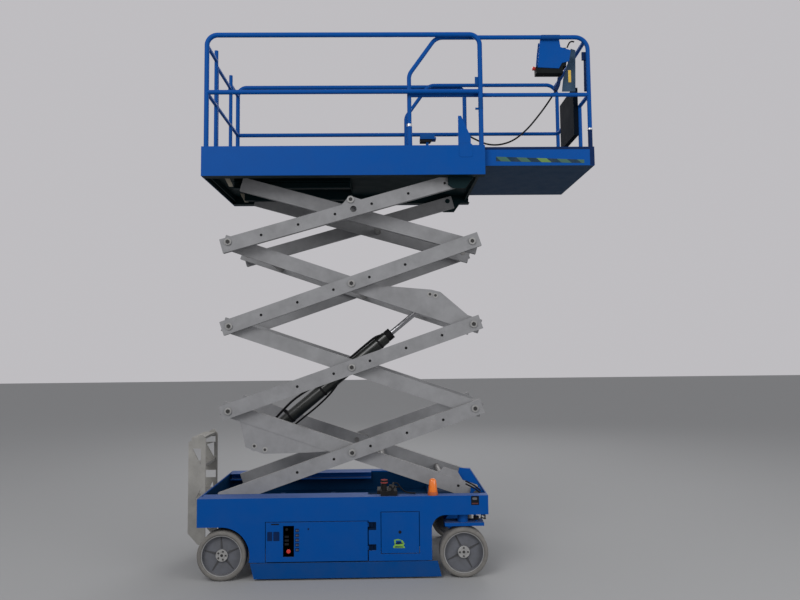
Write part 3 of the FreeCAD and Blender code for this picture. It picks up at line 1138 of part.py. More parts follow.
# cable from the control box, sagging to the gland on the lever plate; its points lie where it was seen
CABLE_POINTS = (("1790", "-440", "rail_top - 293 - seat_gap"), ("1788", "-440", "3925"), ("1768", "-438", "3871"),
                ("1728", "-435", "3808"), ("1672", "-432", "3726"), ("1602", "-429", "3634"), ("1512", "-425", "3528"),
                ("1402", "-421", "3440"), ("1290", "-417", "3406"), ("1188", "-414", "3411"), ("1104", "-413", "3448"),
                ("1032", "-418", "3486"), ("992", "-444", "3499"), ("cable_end_x", "-482", "cable_end_z"),
                ("cable_end_x", f"-({lever_in} - 36 - seat_gap)", "cable_end_z"))
route = [FreeCAD.Vector(*(measure(text) for text in point)) for point in CABLE_POINTS]
cable_edges, cable_radii, cable_length = cord_path(route)
cable = doc.addObject("Part::Feature", "cable_tube")
cable_start = Part.Wire(Part.Circle(route[0], route[1] - route[0], measure("cable_radius")).toShape())
cable.Shape = Part.Wire(cable_edges).makePipeShell([cable_start], True, False)
node("control_cable", [cable])
section = math.pi * measure("cable_radius") ** 2
print("cable radii", [round(radius, 1) for radius in cable_radii])
print("cable length", round(cable_length, 1), "volume against section times length",
      round(cable.Shape.Volume / (section * cable_length), 5))

doc.recompute()
faults = [thing.Name for thing in doc.Objects if "Invalid" in thing.State or "Error" in thing.State]
if faults:
    raise RuntimeError("failed objects: " + ", ".join(faults))
os.makedirs("parts", exist_ok=True)
for label, piece in nodes.items():
    if piece.Shape.isNull() or not piece.Shape.isValid():
        raise RuntimeError("bad shape: " + label)
for label, piece in nodes.items():
    piece.Shape.exportStep(f"parts/{label}.step")
print(len(nodes), "sub-parts")
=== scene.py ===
"""A scissor lift with its platform raised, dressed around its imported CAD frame. Metres."""

import json
import math

import bmesh
import bpy
from mathutils import Matrix, Vector


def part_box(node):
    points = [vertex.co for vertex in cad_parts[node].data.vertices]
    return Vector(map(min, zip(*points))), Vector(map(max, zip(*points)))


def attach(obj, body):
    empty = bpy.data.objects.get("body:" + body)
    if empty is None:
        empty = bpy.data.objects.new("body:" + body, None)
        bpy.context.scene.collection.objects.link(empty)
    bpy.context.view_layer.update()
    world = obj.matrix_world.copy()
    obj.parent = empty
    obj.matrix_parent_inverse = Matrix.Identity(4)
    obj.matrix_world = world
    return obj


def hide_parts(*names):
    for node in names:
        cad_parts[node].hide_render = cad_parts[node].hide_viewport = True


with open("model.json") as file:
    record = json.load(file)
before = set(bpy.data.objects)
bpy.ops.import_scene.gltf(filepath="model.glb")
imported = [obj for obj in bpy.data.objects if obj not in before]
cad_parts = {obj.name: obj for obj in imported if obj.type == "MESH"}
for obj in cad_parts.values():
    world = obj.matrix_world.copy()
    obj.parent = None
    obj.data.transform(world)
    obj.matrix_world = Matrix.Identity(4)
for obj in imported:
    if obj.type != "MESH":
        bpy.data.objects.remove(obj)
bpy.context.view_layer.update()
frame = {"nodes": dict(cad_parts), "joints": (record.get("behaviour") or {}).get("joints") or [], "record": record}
nodes = frame["nodes"]
joints = {joint["name"]: joint for joint in frame["joints"]}
SIDES = (("right", -1), ("left", 1))
SHARP = math.radians(35)


def joint_at(name):
    """A hinge's place in the row frame."""
    return Vector(joints[name]["pos_m"])


# The wheelbase's middle, from which places along the machine are counted.
MIDDLE = (joint_at("wheel_front_right_spin").x + joint_at("wheel_rear_right_spin").x) / 2
HALF_WIDTH, SIDE_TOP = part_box("side_frames")[1][1:]


def at(x, y, z):
    """A point counted from the wheelbase's middle."""
    return Vector((x + MIDDLE, y, z))


# materials

MIX_FACTOR, MIX_FIRST, MIX_SECOND, MIX_RESULT = 0, 6, 7, 2
NOISE_DETAIL, NOISE_ROUGHNESS = 6.0, 0.62
STAINS_START, STAINS_FULL, STAIN_GREY = 0.35, 0.72, 0.08
DUST_FROM, DUST_COLOUR = 0.6, (0.30, 0.28, 0.25)
BUMP_DEPTH = 0.002


def mixed(tree, factor, first, second):
    """The socket of a plain colour mixed over another socket's colour."""
    mix = tree.nodes.new("ShaderNodeMix")
    mix.data_type = "RGBA"
    mix.inputs[MIX_SECOND].default_value = (*second, 1)
    tree.links.new(factor, mix.inputs[MIX_FACTOR])
    tree.links.new(first, mix.inputs[MIX_FIRST])
    return mix.outputs[MIX_RESULT]


def calculated(tree, operation, first, second):
    """The socket of an operation on a socket and a number or a second socket."""
    node = tree.nodes.new("ShaderNodeMath")
    node.operation = operation
    tree.links.new(first, node.inputs[0])
    if isinstance(second, float):
        node.inputs[1].default_value = second
    else:
        tree.links.new(second, node.inputs[1])
    return node.outputs["Value"]


def material(name, colour, rough=0.5, metal=0.0, dirt=0.25, grain=9.0, dust=0.0, coat=0.0, bump=0.0,
             shine=0.5):
    """A plain finish broken up by soft stains, with dust on what faces up."""
    made = bpy.data.materials.new(name)
    made.use_nodes = True
    tree = made.node_tree
    shader = tree.nodes["Principled BSDF"]
    shader.inputs["Metallic"].default_value = metal
    shader.inputs["Coat Weight"].default_value = coat
    shader.inputs["Specular IOR Level"].default_value = shine
    place = tree.nodes.new("ShaderNodeTexCoord")
    noise = tree.nodes.new("ShaderNodeTexNoise")
    noise.inputs["Scale"].default_value = grain
    noise.inputs["Detail"].default_value = NOISE_DETAIL
    noise.inputs["Roughness"].default_value = NOISE_ROUGHNESS
    tree.links.new(place.outputs["Object"], noise.inputs["Vector"])
    ramp = tree.nodes.new("ShaderNodeValToRGB")
    clean, stained = ramp.color_ramp.elements
    clean.position, stained.position = STAINS_START, STAINS_FULL
    clean.color = (*colour, 1)
    stained.color = (*(channel * (1 - dirt) + STAIN_GREY * dirt for channel in colour), 1)
    tree.links.new(noise.outputs["Fac"], ramp.inputs["Fac"])
    last = ramp.outputs["Color"]
    if dust:
        normal = tree.nodes.new("ShaderNodeNewGeometry")
        split = tree.nodes.new("ShaderNodeSeparateXYZ")
        tree.links.new(normal.outputs["Normal"], split.inputs["Vector"])
        upward = tree.nodes.new("ShaderNodeMapRange")
        upward.inputs["From Min"].default_value = DUST_FROM
        upward.inputs["To Max"].default_value = dust
        tree.links.new(split.outputs["Z"], upward.inputs["Value"])
        last = mixed(tree, upward.outputs["Result"], last, DUST_COLOUR)
    tree.links.new(last, shader.inputs["Base Color"])
    gloss = tree.nodes.new("ShaderNodeMapRange")
    gloss.inputs["To Min"].default_value = max(rough - 0.1, 0.05)
    gloss.inputs["To Max"].default_value = min(rough + 0.15, 1.0)
    tree.links.new(noise.outputs["Fac"], gloss.inputs["Value"])
    tree.links.new(gloss.outputs["Result"], shader.inputs["Roughness"])
    if bump:
        lump = tree.nodes.new("ShaderNodeBump")
        lump.inputs["Strength"].default_value = bump
        lump.inputs["Distance"].default_value = BUMP_DEPTH
        tree.links.new(noise.outputs["Fac"], lump.inputs["Height"])
        tree.links.new(lump.outputs["Normal"], shader.inputs["Normal"])
    return made


def blue_paint(name):
    """The machine's blue, as a material of its own."""
    return material(name, (0.0005, 0.070, 0.31), 0.5, dirt=0.05, dust=0.2, shine=0.08)


def inside_of(half_width, top):
    """The tests for what lies between the two side planes and under a level."""
    return (("Y", "LESS_THAN", half_width), ("Y", "GREATER_THAN", -half_width), ("Z", "LESS_THAN", top))


def shade(made, dark, limits):
    """Darken what passes all of the (axis, operation, limit) tests in the row frame, as painted shade."""
    tree = made.node_tree
    base = tree.nodes["Principled BSDF"].inputs["Base Color"]
    light = base.links[0].from_socket
    place = tree.nodes.new("ShaderNodeTexCoord")
    split = tree.nodes.new("ShaderNodeSeparateXYZ")
    tree.links.new(place.outputs["Object"], split.inputs["Vector"])
    inside = None
    for axis, operation, limit in limits:
        test = calculated(tree, operation, split.outputs[axis], limit)
        inside = test if inside is None else calculated(tree, "MULTIPLY", inside, test)
    tree.links.new(mixed(tree, inside, light, dark), base)
    return made


BLUE = blue_paint("blue_paint")
DARK_BLUE = material("dark_blue_paint", (0.001, 0.058, 0.235), 0.55, dirt=0.10, dust=0.2, shine=0.08)
NAVY = material("navy_paint", (0.001, 0.016, 0.075), 0.6, dirt=0.08, shine=0.1)
BRACKET = material("bracket_paint", (0.045, 0.090, 0.150), 0.6, dirt=0.2, shine=0.15)
GREY = material("grey_paint", (0.280, 0.280, 0.290), 0.6, dirt=0.3, grain=7, dust=0.2, shine=0.2)
PIN_GREY = material("pin_grey", (0.36, 0.355, 0.35), 0.6, dirt=0.35, grain=20, shine=0.2)
LADDER = material("ladder_paint", (0.34, 0.33, 0.31), 0.6, dirt=0.3, dust=0.2, shine=0.2)
TYRE = material("grey_rubber", (0.19, 0.180, 0.168), 0.85, dirt=0.4, grain=22, bump=0.5, shine=0.25)
RIM = material("rim_paint", (0.13, 0.135, 0.155), 0.6, dirt=0.5, grain=16, dust=0.2, shine=0.3)
STEEL = material("bare_steel", (0.24, 0.235, 0.23), 0.45, metal=0.8, dirt=0.5, grain=30)
CHROME = material("hard_chrome", (0.45, 0.45, 0.47), 0.28, metal=0.9, dirt=0.2)
RING = material("bright_ring", (0.62, 0.63, 0.65), 0.35, metal=0.7, dirt=0.3)
BLACK = material("black_paint", (0.008, 0.008, 0.009), 0.6, dirt=0.1, dust=0.1, shine=0.12)
PLASTIC = material("black_plastic", (0.005, 0.007, 0.008), 0.65, dirt=0.06, dust=0.06, shine=0.1)
BOX_BLACK = material("box_black", (0.001, 0.004, 0.010), 0.8, dirt=0.03, shine=0.06)
HOSE = material("black_hose", (0.006, 0.006, 0.007), 0.6, dirt=0.08, shine=0.12)
BARREL = material("barrel_paint", (0.010, 0.012, 0.010), 0.28, dirt=0.1, shine=0.6)
RIB = material("rib_paint", (0.065, 0.065, 0.070), 0.6, dirt=0.3, grain=16, shine=0.2)
RED = material("red_button", (0.62, 0.035, 0.022), 0.35, dirt=0.15)
DARK_RED = material("dark_red_foot", (0.10, 0.012, 0.010), 0.5, dirt=0.3)
ORANGE = material("orange_lens", (0.90, 0.20, 0.012), 0.25, dirt=0.15, coat=0.5)
VALVE_RED = material("valve_red", (0.28, 0.025, 0.020), 0.5, dirt=0.2)
FOOT_ORANGE = material("foot_orange", (0.45, 0.085, 0.010), 0.5, dirt=0.2)
IVORY = material("ivory_pad", (0.50, 0.45, 0.36), 0.5, dirt=0.3)
TAG = material("tag_paint", (0.65, 0.42, 0.05), 0.5, dirt=0.3)
GREEN = material("green_sticker", (0.20, 0.42, 0.05), 0.5, dirt=0.2)
STRIPE_TEAL = material("faded_stripe", (0.045, 0.135, 0.095), 0.55, dirt=0.4, grain=20, shine=0.2)
STRIPE_BRIGHT = material("bright_stripe", (0.14, 0.27, 0.06), 0.55, dirt=0.4, grain=20, shine=0.2)
STRIPE_DARK = material("dark_stripe", (0.002, 0.028, 0.055), 0.55, dirt=0.3, grain=20, shine=0.2)
LABEL = material("dark_label", (0.007, 0.008, 0.011), 0.6, dirt=0.1, shine=0.1)
BOLT = material("dark_bolt", (0.035, 0.034, 0.034), 0.6, dirt=0.3, shine=0.2)
DECK = material("tread_steel", (0.22, 0.225, 0.23), 0.55, metal=0.5, dirt=0.6, grain=14, dust=0.3, bump=0.4)

# The deck is blue on its fascias, with nearly black painted shade inside them and under its floor. The roll-out
# deck has dark slate painted shade under its floor.
FASCIA_INSIDE, DECK_TOP, REAR_FASCIA = 0.5722, 3.1945, MIDDLE - 1.104
BOARD_INSIDE, ROLL_OUT_TOP = 0.5265, 3.2045
DECK_PAINTED_SHADE = shade(blue_paint("deck_painted_shade"), (0.004, 0.015, 0.018),
                   (*inside_of(FASCIA_INSIDE, DECK_TOP), ("X", "GREATER_THAN", REAR_FASCIA)))
# Painted shade: the roll-out deck's floor is dark slate underneath, between its side boards.
ROLL_OUT_PAINTED_SHADE = shade(blue_paint("roll_out_painted_shade"), (0.008, 0.038, 0.090),
                       inside_of(BOARD_INSIDE, ROLL_OUT_TOP))

# The side frames and doors are blue outside, with painted shade inside the chassis and in their hinge notches. The
# tray has painted shade inside.
CHASSIS_INSIDE, CHASSIS_RIM = 0.572, 0.606
NOTCH_REAR, NOTCH_FRONT = MIDDLE + 0.197, MIDDLE + 0.255
NOTCHES = ((0.368, 0.428), (0.217, 0.262))
SIDE_PAINTED_SHADE = shade(blue_paint("side_painted_shade"), (0.001, 0.018, 0.050), inside_of(CHASSIS_INSIDE, CHASSIS_RIM))
# Painted shade, darker still, in the recessed hinge notches.
for low_z, high_z in NOTCHES:
    SIDE_PAINTED_SHADE = shade(SIDE_PAINTED_SHADE, (0.001, 0.010, 0.035),
                       (("X", "GREATER_THAN", NOTCH_REAR), ("Z", "LESS_THAN", high_z),
                        ("X", "LESS_THAN", NOTCH_FRONT), ("Z", "GREATER_THAN", low_z)))
# Painted shade: the tray is darkened inside the chassis rim.
TRAY_PAINTED_SHADE = shade(blue_paint("tray_painted_shade"), (0.001, 0.026, 0.080), inside_of(CHASSIS_INSIDE, CHASSIS_RIM))

# The finish of each CAD node, by its record slot or by its own name.
FINISHES = {
    "blue_paint": BLUE, "dark_blue_paint": DARK_BLUE, "grey_paint": GREY, "ladder_paint": LADDER,
    "steel": STEEL, "chrome_rod": CHROME, "black_paint": BLACK, "black_plastic": PLASTIC,
    "slider_plastic": IVORY, "grey_tyre": TYRE, "rim_paint": RIM, "beacon_lens": ORANGE,
    "valve_red": BLACK, "cable_black": HOSE,
}
OWN_FINISHES = {
    "side_frames": SIDE_PAINTED_SHADE, "module_door_right": SIDE_PAINTED_SHADE, "module_door_left": SIDE_PAINTED_SHADE,
    "chassis_tray": TRAY_PAINTED_SHADE, "cylinder_barrel": BARREL, "platform_deck": DECK_PAINTED_SHADE,
    "extension_deck": ROLL_OUT_PAINTED_SHADE, "manual_box": BOX_BLACK, "extension_pedal": DARK_BLUE,
}
for part in frame["record"]["subparts"]:
    cad = nodes[part["node"]]
    cad.data.materials.clear()
    cad.data.materials.append(OWN_FINISHES.get(part["node"], FINISHES[part["material_slot"]]))
    cad.data.set_sharp_from_angle(angle=SHARP)


# piece builders

def smooth(thing):
    """Shade the curved faces of a mesh smooth and keep its corners sharp."""
    for face in thing.data.polygons:
        face.use_smooth = True
    for edge in thing.data.edges:
        edge.use_edge_sharp = False
    thing.data.set_sharp_from_angle(angle=SHARP)


def piece(name, body, finish, shape, bevel=0.0):
    """A mesh from a bmesh, in the row frame, riding on a body."""
    mesh = bpy.data.meshes.new(name)
    shape.to_mesh(mesh)
    shape.free()
    thing = bpy.data.objects.new(name, mesh)
    bpy.context.scene.collection.objects.link(thing)
    mesh.materials.append(finish)
    smooth(thing)
    if bevel:
        round_off = thing.modifiers.new("edges", "BEVEL")
        round_off.width = bevel
        round_off.segments = 2
        round_off.limit_method = "ANGLE"
    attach(thing, body)
    return thing


def build(name, body, finish, slot, *forms, bevel=0.0):
    """A piece made of forms, each given as one of the add functions with its values."""
    shape = bmesh.new()
    for add, *values in forms:
        add(shape, *values)
    return piece(name, body, finish, shape, bevel)


def add_box(shape, low, high):
    """A block between two corners."""
    low, high = Vector(low), Vector(high)
    size = Matrix.Diagonal((*(abs(side) for side in high - low), 1))
    bmesh.ops.create_cube(shape, size=1, matrix=Matrix.Translation((low + high) / 2) @ size)


def add_rod(shape, start, end, radius, sides=24, end_radius=None):
    """A round bar or cone between two points."""
    start, end = Vector(start), Vector(end)
    along = end - start
    turn = along.to_track_quat("Z", "Y").to_matrix().to_4x4()
    bmesh.ops.create_cone(shape, cap_ends=True, segments=sides, radius1=radius,
                          radius2=radius if end_radius is None else end_radius, depth=along.length,
                          matrix=Matrix.Translation((start + end) / 2) @ turn)


def add_plate(shape, outline, low, high, start=MIDDLE):
    """A flat plate between two planes across the machine, its outline given as (x, z) from a start."""
    front = [shape.verts.new((start + x, low, z)) for x, z in outline]
    back = [shape.verts.new((start + x, high, z)) for x, z in outline]
    shape.faces.new(front)
    shape.faces.new(list(reversed(back)))
    for index, here in enumerate(front):
        after = (index + 1) % len(outline)
        shape.faces.new((front[after], here, back[index], back[after]))
    bmesh.ops.recalc_face_normals(shape, faces=shape.faces)


def add_ring(shape, centre, profile, steps=72):
    """A closed ring about a line across the machine, from (radius, offset) pairs."""
    rings = []
    for step in range(steps):
        angle = 2 * math.pi * step / steps
        rings.append([shape.verts.new((centre.x + u * math.cos(angle), centre.y + v,
                                       centre.z + u * math.sin(angle))) for u, v in profile])
    for step, here in enumerate(rings):
        there = rings[(step + 1) % steps]
        for index in range(len(profile)):
            after = (index + 1) % len(profile)
            shape.faces.new((here[index], here[after], there[after], there[index]))
    bmesh.ops.recalc_face_normals(shape, faces=shape.faces)


def add_turned(shape, centre, profile, sides=40):
    """A solid of rings about an upright line, from (height, radius) pairs."""
    turns = [2 * math.pi * step / sides for step in range(sides)]
    rings = [[shape.verts.new(centre + Vector((radius * math.cos(turn), radius * math.sin(turn), height)))
              for turn in turns] for height, radius in profile]
    for low_ring, high_ring in zip(rings, rings[1:]):
        for step in range(sides):
            after = (step + 1) % sides
            shape.faces.new((low_ring[step], low_ring[after], high_ring[after], high_ring[step]))
    shape.faces.new(list(reversed(rings[0])))
    shape.faces.new(rings[-1])


def rectangle(low, high):
    """A rectangle between two corners, as an outline."""
    return [low, (high[0], low[1]), high, (low[0], high[1])]


def rounded(low, high, radius, steps=5):
    """A rectangle with round corners, as an outline."""
    centres = ((high[0] - radius, high[1] - radius), (low[0] + radius, high[1] - radius),
               (low[0] + radius, low[1] + radius), (high[0] - radius, low[1] + radius))
    points = []
    for turn, (x, z) in enumerate(centres):
        for step in range(steps + 1):
            angle = math.radians(90 * (turn + step / steps))
            points.append((x + radius * math.cos(angle), z + radius * math.sin(angle)))
    return points


def smooth_curve(name, points):
    """A smooth open curve along points."""
    curve = bpy.data.curves.new(name, "CURVE")
    curve.dimensions = "3D"
    curve.resolution_u = 10
    spline = curve.splines.new("NURBS")
    spline.points.add(len(points) - 1)
    for place, point in zip(spline.points, points):
        place.co = (*point, 1)
    spline.order_u = 3
    spline.use_endpoint_u = True
    return curve


def line(name, body, finish, points, radius):
    """A round hose or wire along smooth points."""
    curve = smooth_curve(name, points)
    curve.bevel_depth = radius
    curve.bevel_resolution = 4
    curve.use_fill_caps = True
    thing = bpy.data.objects.new(name, curve)
    bpy.context.scene.collection.objects.link(thing)
    curve.materials.append(finish)
    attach(thing, body)
    return thing


# wheels: rounded tyres, rim edges, ribs, hub caps and bolts

RIM_WIDTH = 0.104
BEAD, BEAD_STEP = 0.006, 0.008
SHOULDER, SHOULDER_TURNS = 0.017, (0, 22, 45, 68, 90)
SPOKES = {"front": 4, "rear": 5}
RIB_DEPTH, RIB_START, RIB_STOP = 0.0515, 0.052, 0.138
RIB_CREST, RIB_CREST_OUT, RIB_FOOT = 0.013, 0.009, 0.007
HUB_DEPTH, HUB_BOLT_CIRCLE, HUB_BOLT_RADIUS, HUB_BOLT_LENGTH = 0.028, 0.031, 0.0065, 0.007
CAP_RADIUS, CAP_THICK, PLUG_RADIUS, PLUG_THICK = 0.0228, 0.0025, 0.011, 0.0035


def flat_ring(inner, outer, low, high):
    """A ring's profile between two radii and two planes."""
    return [(inner, low), (outer, low), (outer, high), (inner, high)]


def add_rib(shape, centre, face, sign, angle):
    """A spoke on a rim's face that is widest and highest at the hub."""
    ray = Vector((math.cos(angle), 0, math.sin(angle)))
    side_way = Vector((-math.sin(angle), 0, math.cos(angle)))
    corners = [centre + ray * reach + side_way * width for reach, width in
               ((RIB_START, 0.008), (RIB_STOP, 0.0045), (RIB_STOP, -0.0045), (RIB_START, -0.008))]
    heights = (RIB_CREST, RIB_CREST_OUT, RIB_CREST_OUT, RIB_CREST)
    foot = [shape.verts.new((c.x, face + sign * RIB_FOOT, c.z)) for c in corners]
    crest = [shape.verts.new((c.x, face + sign * height, c.z)) for c, height in zip(corners, heights)]
    shape.faces.new(crest)
    shape.faces.new(list(reversed(foot)))
    for index in range(4):
        after = (index + 1) % 4
        shape.faces.new((foot[index], foot[after], crest[after], crest[index]))
    bmesh.ops.recalc_face_normals(shape, faces=shape.faces)


def dress_wheel(end, side, sign):
    """A wheel's tyre skin and what stands on its rim."""
    where = f"{end}_{side}"
    body = "wheel_" + where
    centre = joint_at(body + "_spin")
    low, high = (Vector(corner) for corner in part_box("tyre_" + where))
    rim_low, rim_high = (Vector(corner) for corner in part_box("rim_" + where))
    radius = (high.z - low.z) / 2
    hole = (rim_high.z - rim_low.z) / 2
    half = (high.y - low.y) / 2
    profile = [(hole, -half + BEAD), (hole + BEAD_STEP, -half)]
    for turn in SHOULDER_TURNS:
        angle = math.radians(turn)
        profile.append((radius - SHOULDER + SHOULDER * math.sin(angle),
                        -half + SHOULDER - SHOULDER * math.cos(angle)))
    profile += [(u, -v) for u, v in reversed(profile)]
    tyre = build("tyre_skin_" + where, body, TYRE, "grey_tyre", (add_ring, centre, profile))
    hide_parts("tyre_" + where)

    edge = sign * (HALF_WIDTH - half + RIM_WIDTH / 2) - centre.y
    lip = flat_ring(hole - 0.0075, hole - 0.001, edge - sign * 0.004, edge + sign * 0.0012)
    build("rim_edge_" + where, body, PIN_GREY, "rim_paint", (add_ring, centre, lip))

    count = SPOKES[end]
    face = sign * (HALF_WIDTH - RIB_DEPTH)
    build("rim_ribs_" + where, body, RIB, "rim_paint",
          *((add_rib, centre, face, sign, 2 * math.pi * (step + 0.3) / count) for step in range(count)))

    hub = Vector((centre.x, sign * (HALF_WIDTH - HUB_DEPTH), centre.z))
    out = Vector((0, sign, 0))
    spots = []
    for step in range(count):
        angle = 2 * math.pi * step / count
        spots.append(hub + HUB_BOLT_CIRCLE * Vector((math.cos(angle), 0, math.sin(angle))))
    build("hub_bolts_" + where, body, BOLT, "steel",
          *((add_rod, spot, spot + out * HUB_BOLT_LENGTH, HUB_BOLT_RADIUS, 6) for spot in spots))
    build("hub_cap_" + where, body, PIN_GREY, "rim_paint",
          (add_rod, hub, hub + out * CAP_THICK, CAP_RADIUS, 40),
          (add_ring, hub, flat_ring(0.0235, 0.0455, -sign * 0.001, sign * 0.0012), 48))
    build("hub_plug_" + where, body, BOLT, "steel", (add_rod, hub, hub + out * PLUG_THICK, PLUG_RADIUS, 32))


for end in ("front", "rear"):
    for side, sign in SIDES:
        dress_wheel(end, side, sign)


# chassis sides: door slots, blank plates, stickers and the blank label at the front corner

THIN = 0.0012  # a plate or sticker on the paint
DOOR_BOLT = [(-0.262 + 0.006 * math.cos(math.radians(turn)), 0.383 + 0.006 * math.sin(math.radians(turn)))
             for turn in range(0, 360, 30)]
STICKER = ((0.384, 0.232), (0.384, 0.246), (0.395, 0.256), (0.390, 0.292), (0.420, 0.299), (0.455, 0.288),
           (0.470, 0.262), (0.462, 0.250), (0.473, 0.236), (0.470, 0.230))
STICKER_HILL = ((0.398, 0.262), (0.418, 0.280), (0.440, 0.276), (0.462, 0.264), (0.440, 0.262),
                (0.420, 0.258))
STICKER_BASE = ((0.392, 0.236), (0.400, 0.244), (0.452, 0.242), (0.462, 0.236))
LOCK = (0.436, 0.350)
LOCK_RADIUS, LOCK_DEPTH = 0.012, 0.004

# name, body, finish, slot, and the outlines with their thicknesses
SIDE_PLATES = (
    ("door_slot_", "module_{}", LABEL, "black_plastic",
     ((rounded((-0.546, 0.416), (-0.485, 0.425), 0.003), THIN), (DOOR_BOLT, 0.003))),
    ("door_blank_plates_", "module_{}", NAVY, "dark_blue_paint",
     ((rounded((-0.574, 0.297), (-0.537, 0.365), 0.004), 0.0015),
      (rounded((-0.528, 0.297), (-0.482, 0.365), 0.004), 0.0015))),
    ("access_sticker_", "access_{}", GREEN, "blue_paint", ((STICKER, THIN),)),
    ("access_sticker_field_", "access_{}", BLUE, "blue_paint",
     ((rounded((0.403, 0.262), (0.446, 0.288), 0.006), 0.0014),)),
    ("access_sticker_mark_", "access_{}", NAVY, "black_plastic",
     ((STICKER_HILL, 0.0018), (STICKER_BASE, 0.0018))),
    ("corner_label_", "chassis", LABEL, "black_plastic",
     ((rounded((0.984, 0.545), (1.045, 0.613), 0.004), THIN),)),
    ("corner_stripe_", "chassis", DARK_RED, "valve_red",
     ((rounded((0.990, 0.553), (1.038, 0.561), 0.002), 0.0016),)),
    ("corner_mark_", "chassis", RIM, "rim_paint",
     ((rounded((0.994, 0.584), (1.030, 0.602), 0.008), 0.0016),)),
)


def side_plate(sign, outline, thick):
    """The form of a thin plate on the machine's side face."""
    return add_plate, outline, sign * HALF_WIDTH, sign * (HALF_WIDTH + thick)


for side, sign in SIDES:
    for name, body, finish, slot, plates in SIDE_PLATES:
        build(name + side, body.format(side), finish, slot, *(side_plate(sign, *plate) for plate in plates))
    build("access_lock_" + side, "access_" + side, LABEL, "black_plastic",
          (add_rod, at(LOCK[0], sign * (HALF_WIDTH - LOCK_DEPTH), LOCK[1]),
           at(LOCK[0], sign * (HALF_WIDTH + THIN), LOCK[1]), LOCK_RADIUS))


# ground controls on the right door

panel_low, panel_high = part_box("ground_controls")
front = panel_low[1]
panel_x = (panel_low[0] + panel_high[0]) / 2
BUTTON_Z, BUTTON_RADIUS = 0.217, 0.017
KEY_X, KEY_Z = panel_x - 0.014, 0.380
SWITCH_ROWS = (0.262, 0.290, 0.318)
GAUGE_ROWS = [0.216 + 0.036 * step for step in range(5)]
LAMP_ROWS = [0.222 + 0.036 * step for step in range(5)]
LAMP_COLUMNS = (-0.356, -0.344)

build("controls_face", "module_right", PLASTIC, "black_plastic",
      (add_box, (panel_low[0], front + 0.003, panel_low[2]), (panel_high[0], front + 0.0075, panel_high[2])),
      bevel=0.001)
build("stop_button", "module_right", RED, "valve_red",
      (add_rod, (panel_x, front + 0.002, BUTTON_Z), (panel_x, front - 0.004, BUTTON_Z),
       BUTTON_RADIUS, 32, BUTTON_RADIUS * 0.85), bevel=0.002)
build("controls_switches", "module_right", LABEL, "black_plastic",
      (add_rod, (KEY_X, front + 0.004, KEY_Z), (KEY_X, front - 0.0005, KEY_Z), 0.0115, 24, 0.010),
      *((add_box, (panel_x - 0.030, front + 0.004, low_z), (panel_x + 0.002, front + 0.001, low_z + 0.016))
        for low_z in SWITCH_ROWS), bevel=0.001)
build("controls_gauges", "module_right", NAVY, "dark_blue_paint",
      *(side_plate(-1, rectangle((-0.361, low_z), (-0.333, low_z + 0.026)), 0.001) for low_z in GAUGE_ROWS))
build("controls_lamps", "module_right", RIM, "black_plastic",
      *(side_plate(-1, rectangle((x, low_z), (x + 0.006, low_z + 0.012)), 0.0016)
        for low_z in LAMP_ROWS for x in LAMP_COLUMNS))


# beacons: domed lenses on orange feet

BEACON_X, BEACON_Y = 0.694, 0.540
LENS = ((0.000, 0.0330), (0.006, 0.0345), (0.030, 0.0325), (0.062, 0.0295), (0.084, 0.0265), (0.095, 0.0200),
        (0.100, 0.0100))
FOOT = ((0.000, 0.0400), (0.012, 0.0400), (0.024, 0.0360))
FOOT_TOP = FOOT[-1][0]

lenses = build("beacon_lenses", "chassis", ORANGE, "beacon_lens",
               *((add_turned, at(BEACON_X, sign * BEACON_Y, SIDE_TOP + FOOT_TOP), LENS)
                 for side, sign in SIDES))
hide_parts("beacons")
build("beacon_feet", "chassis", FOOT_ORANGE, "black_paint",
      *((add_turned, at(BEACON_X, sign * BEACON_Y, SIDE_TOP), FOOT) for side, sign in SIDES))


# lowering valve: red cap, fittings and pipes

valve = at(0.318, -0.540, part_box("lowering_valve")[1][2])
UP = Vector((0, 0, 1))
VALVE_FITTINGS = ((0.360, 0.668, 0.013), (0.385, 0.690, 0.010), (0.402, 0.664, 0.012))
VALVE_PIPES = (
    ((0.395, -0.535, 0.668), (0.430, -0.528, 0.690), (0.470, -0.520, 0.640), (0.520, -0.515, 0.627),
     (0.560, -0.515, 0.626)),
    ((0.385, -0.545, 0.700), (0.410, -0.535, 0.725), (0.455, -0.525, 0.655), (0.500, -0.520, 0.628),
     (0.560, -0.525, 0.627)),
)

build("valve_knob_cap", "chassis", VALVE_RED, "valve_red",
      (add_rod, valve - UP * 0.023, valve + UP * 0.002, 0.0292, 32, 0.026), bevel=0.002)
forms = []
for x, z, radius in VALVE_FITTINGS:
    spot = at(x, -0.565, z)
    forms.append((add_rod, spot, spot + Vector((0, 0.045, 0)), radius))
    forms.append((add_rod, spot + Vector((0, 0.020, 0)), spot + Vector((0.004, 0.020, 0.026)), 0.006))
build("valve_fittings", "chassis", BOLT, "steel", *forms)
for index, points in enumerate(VALVE_PIPES):
    line(f"valve_pipe_{index}", "chassis", HOSE, [at(*point) for point in points], 0.005)


# tray: straps and a manifold with two plugs

TRAY_FLOOR = 0.449
STRAPS, STRAP_HALF, STRAP_TOP = (-0.60, -0.15, 0.30), 0.02, 0.458
MANIFOLD_Y, MANIFOLD_TOP = 0.18, 0.52

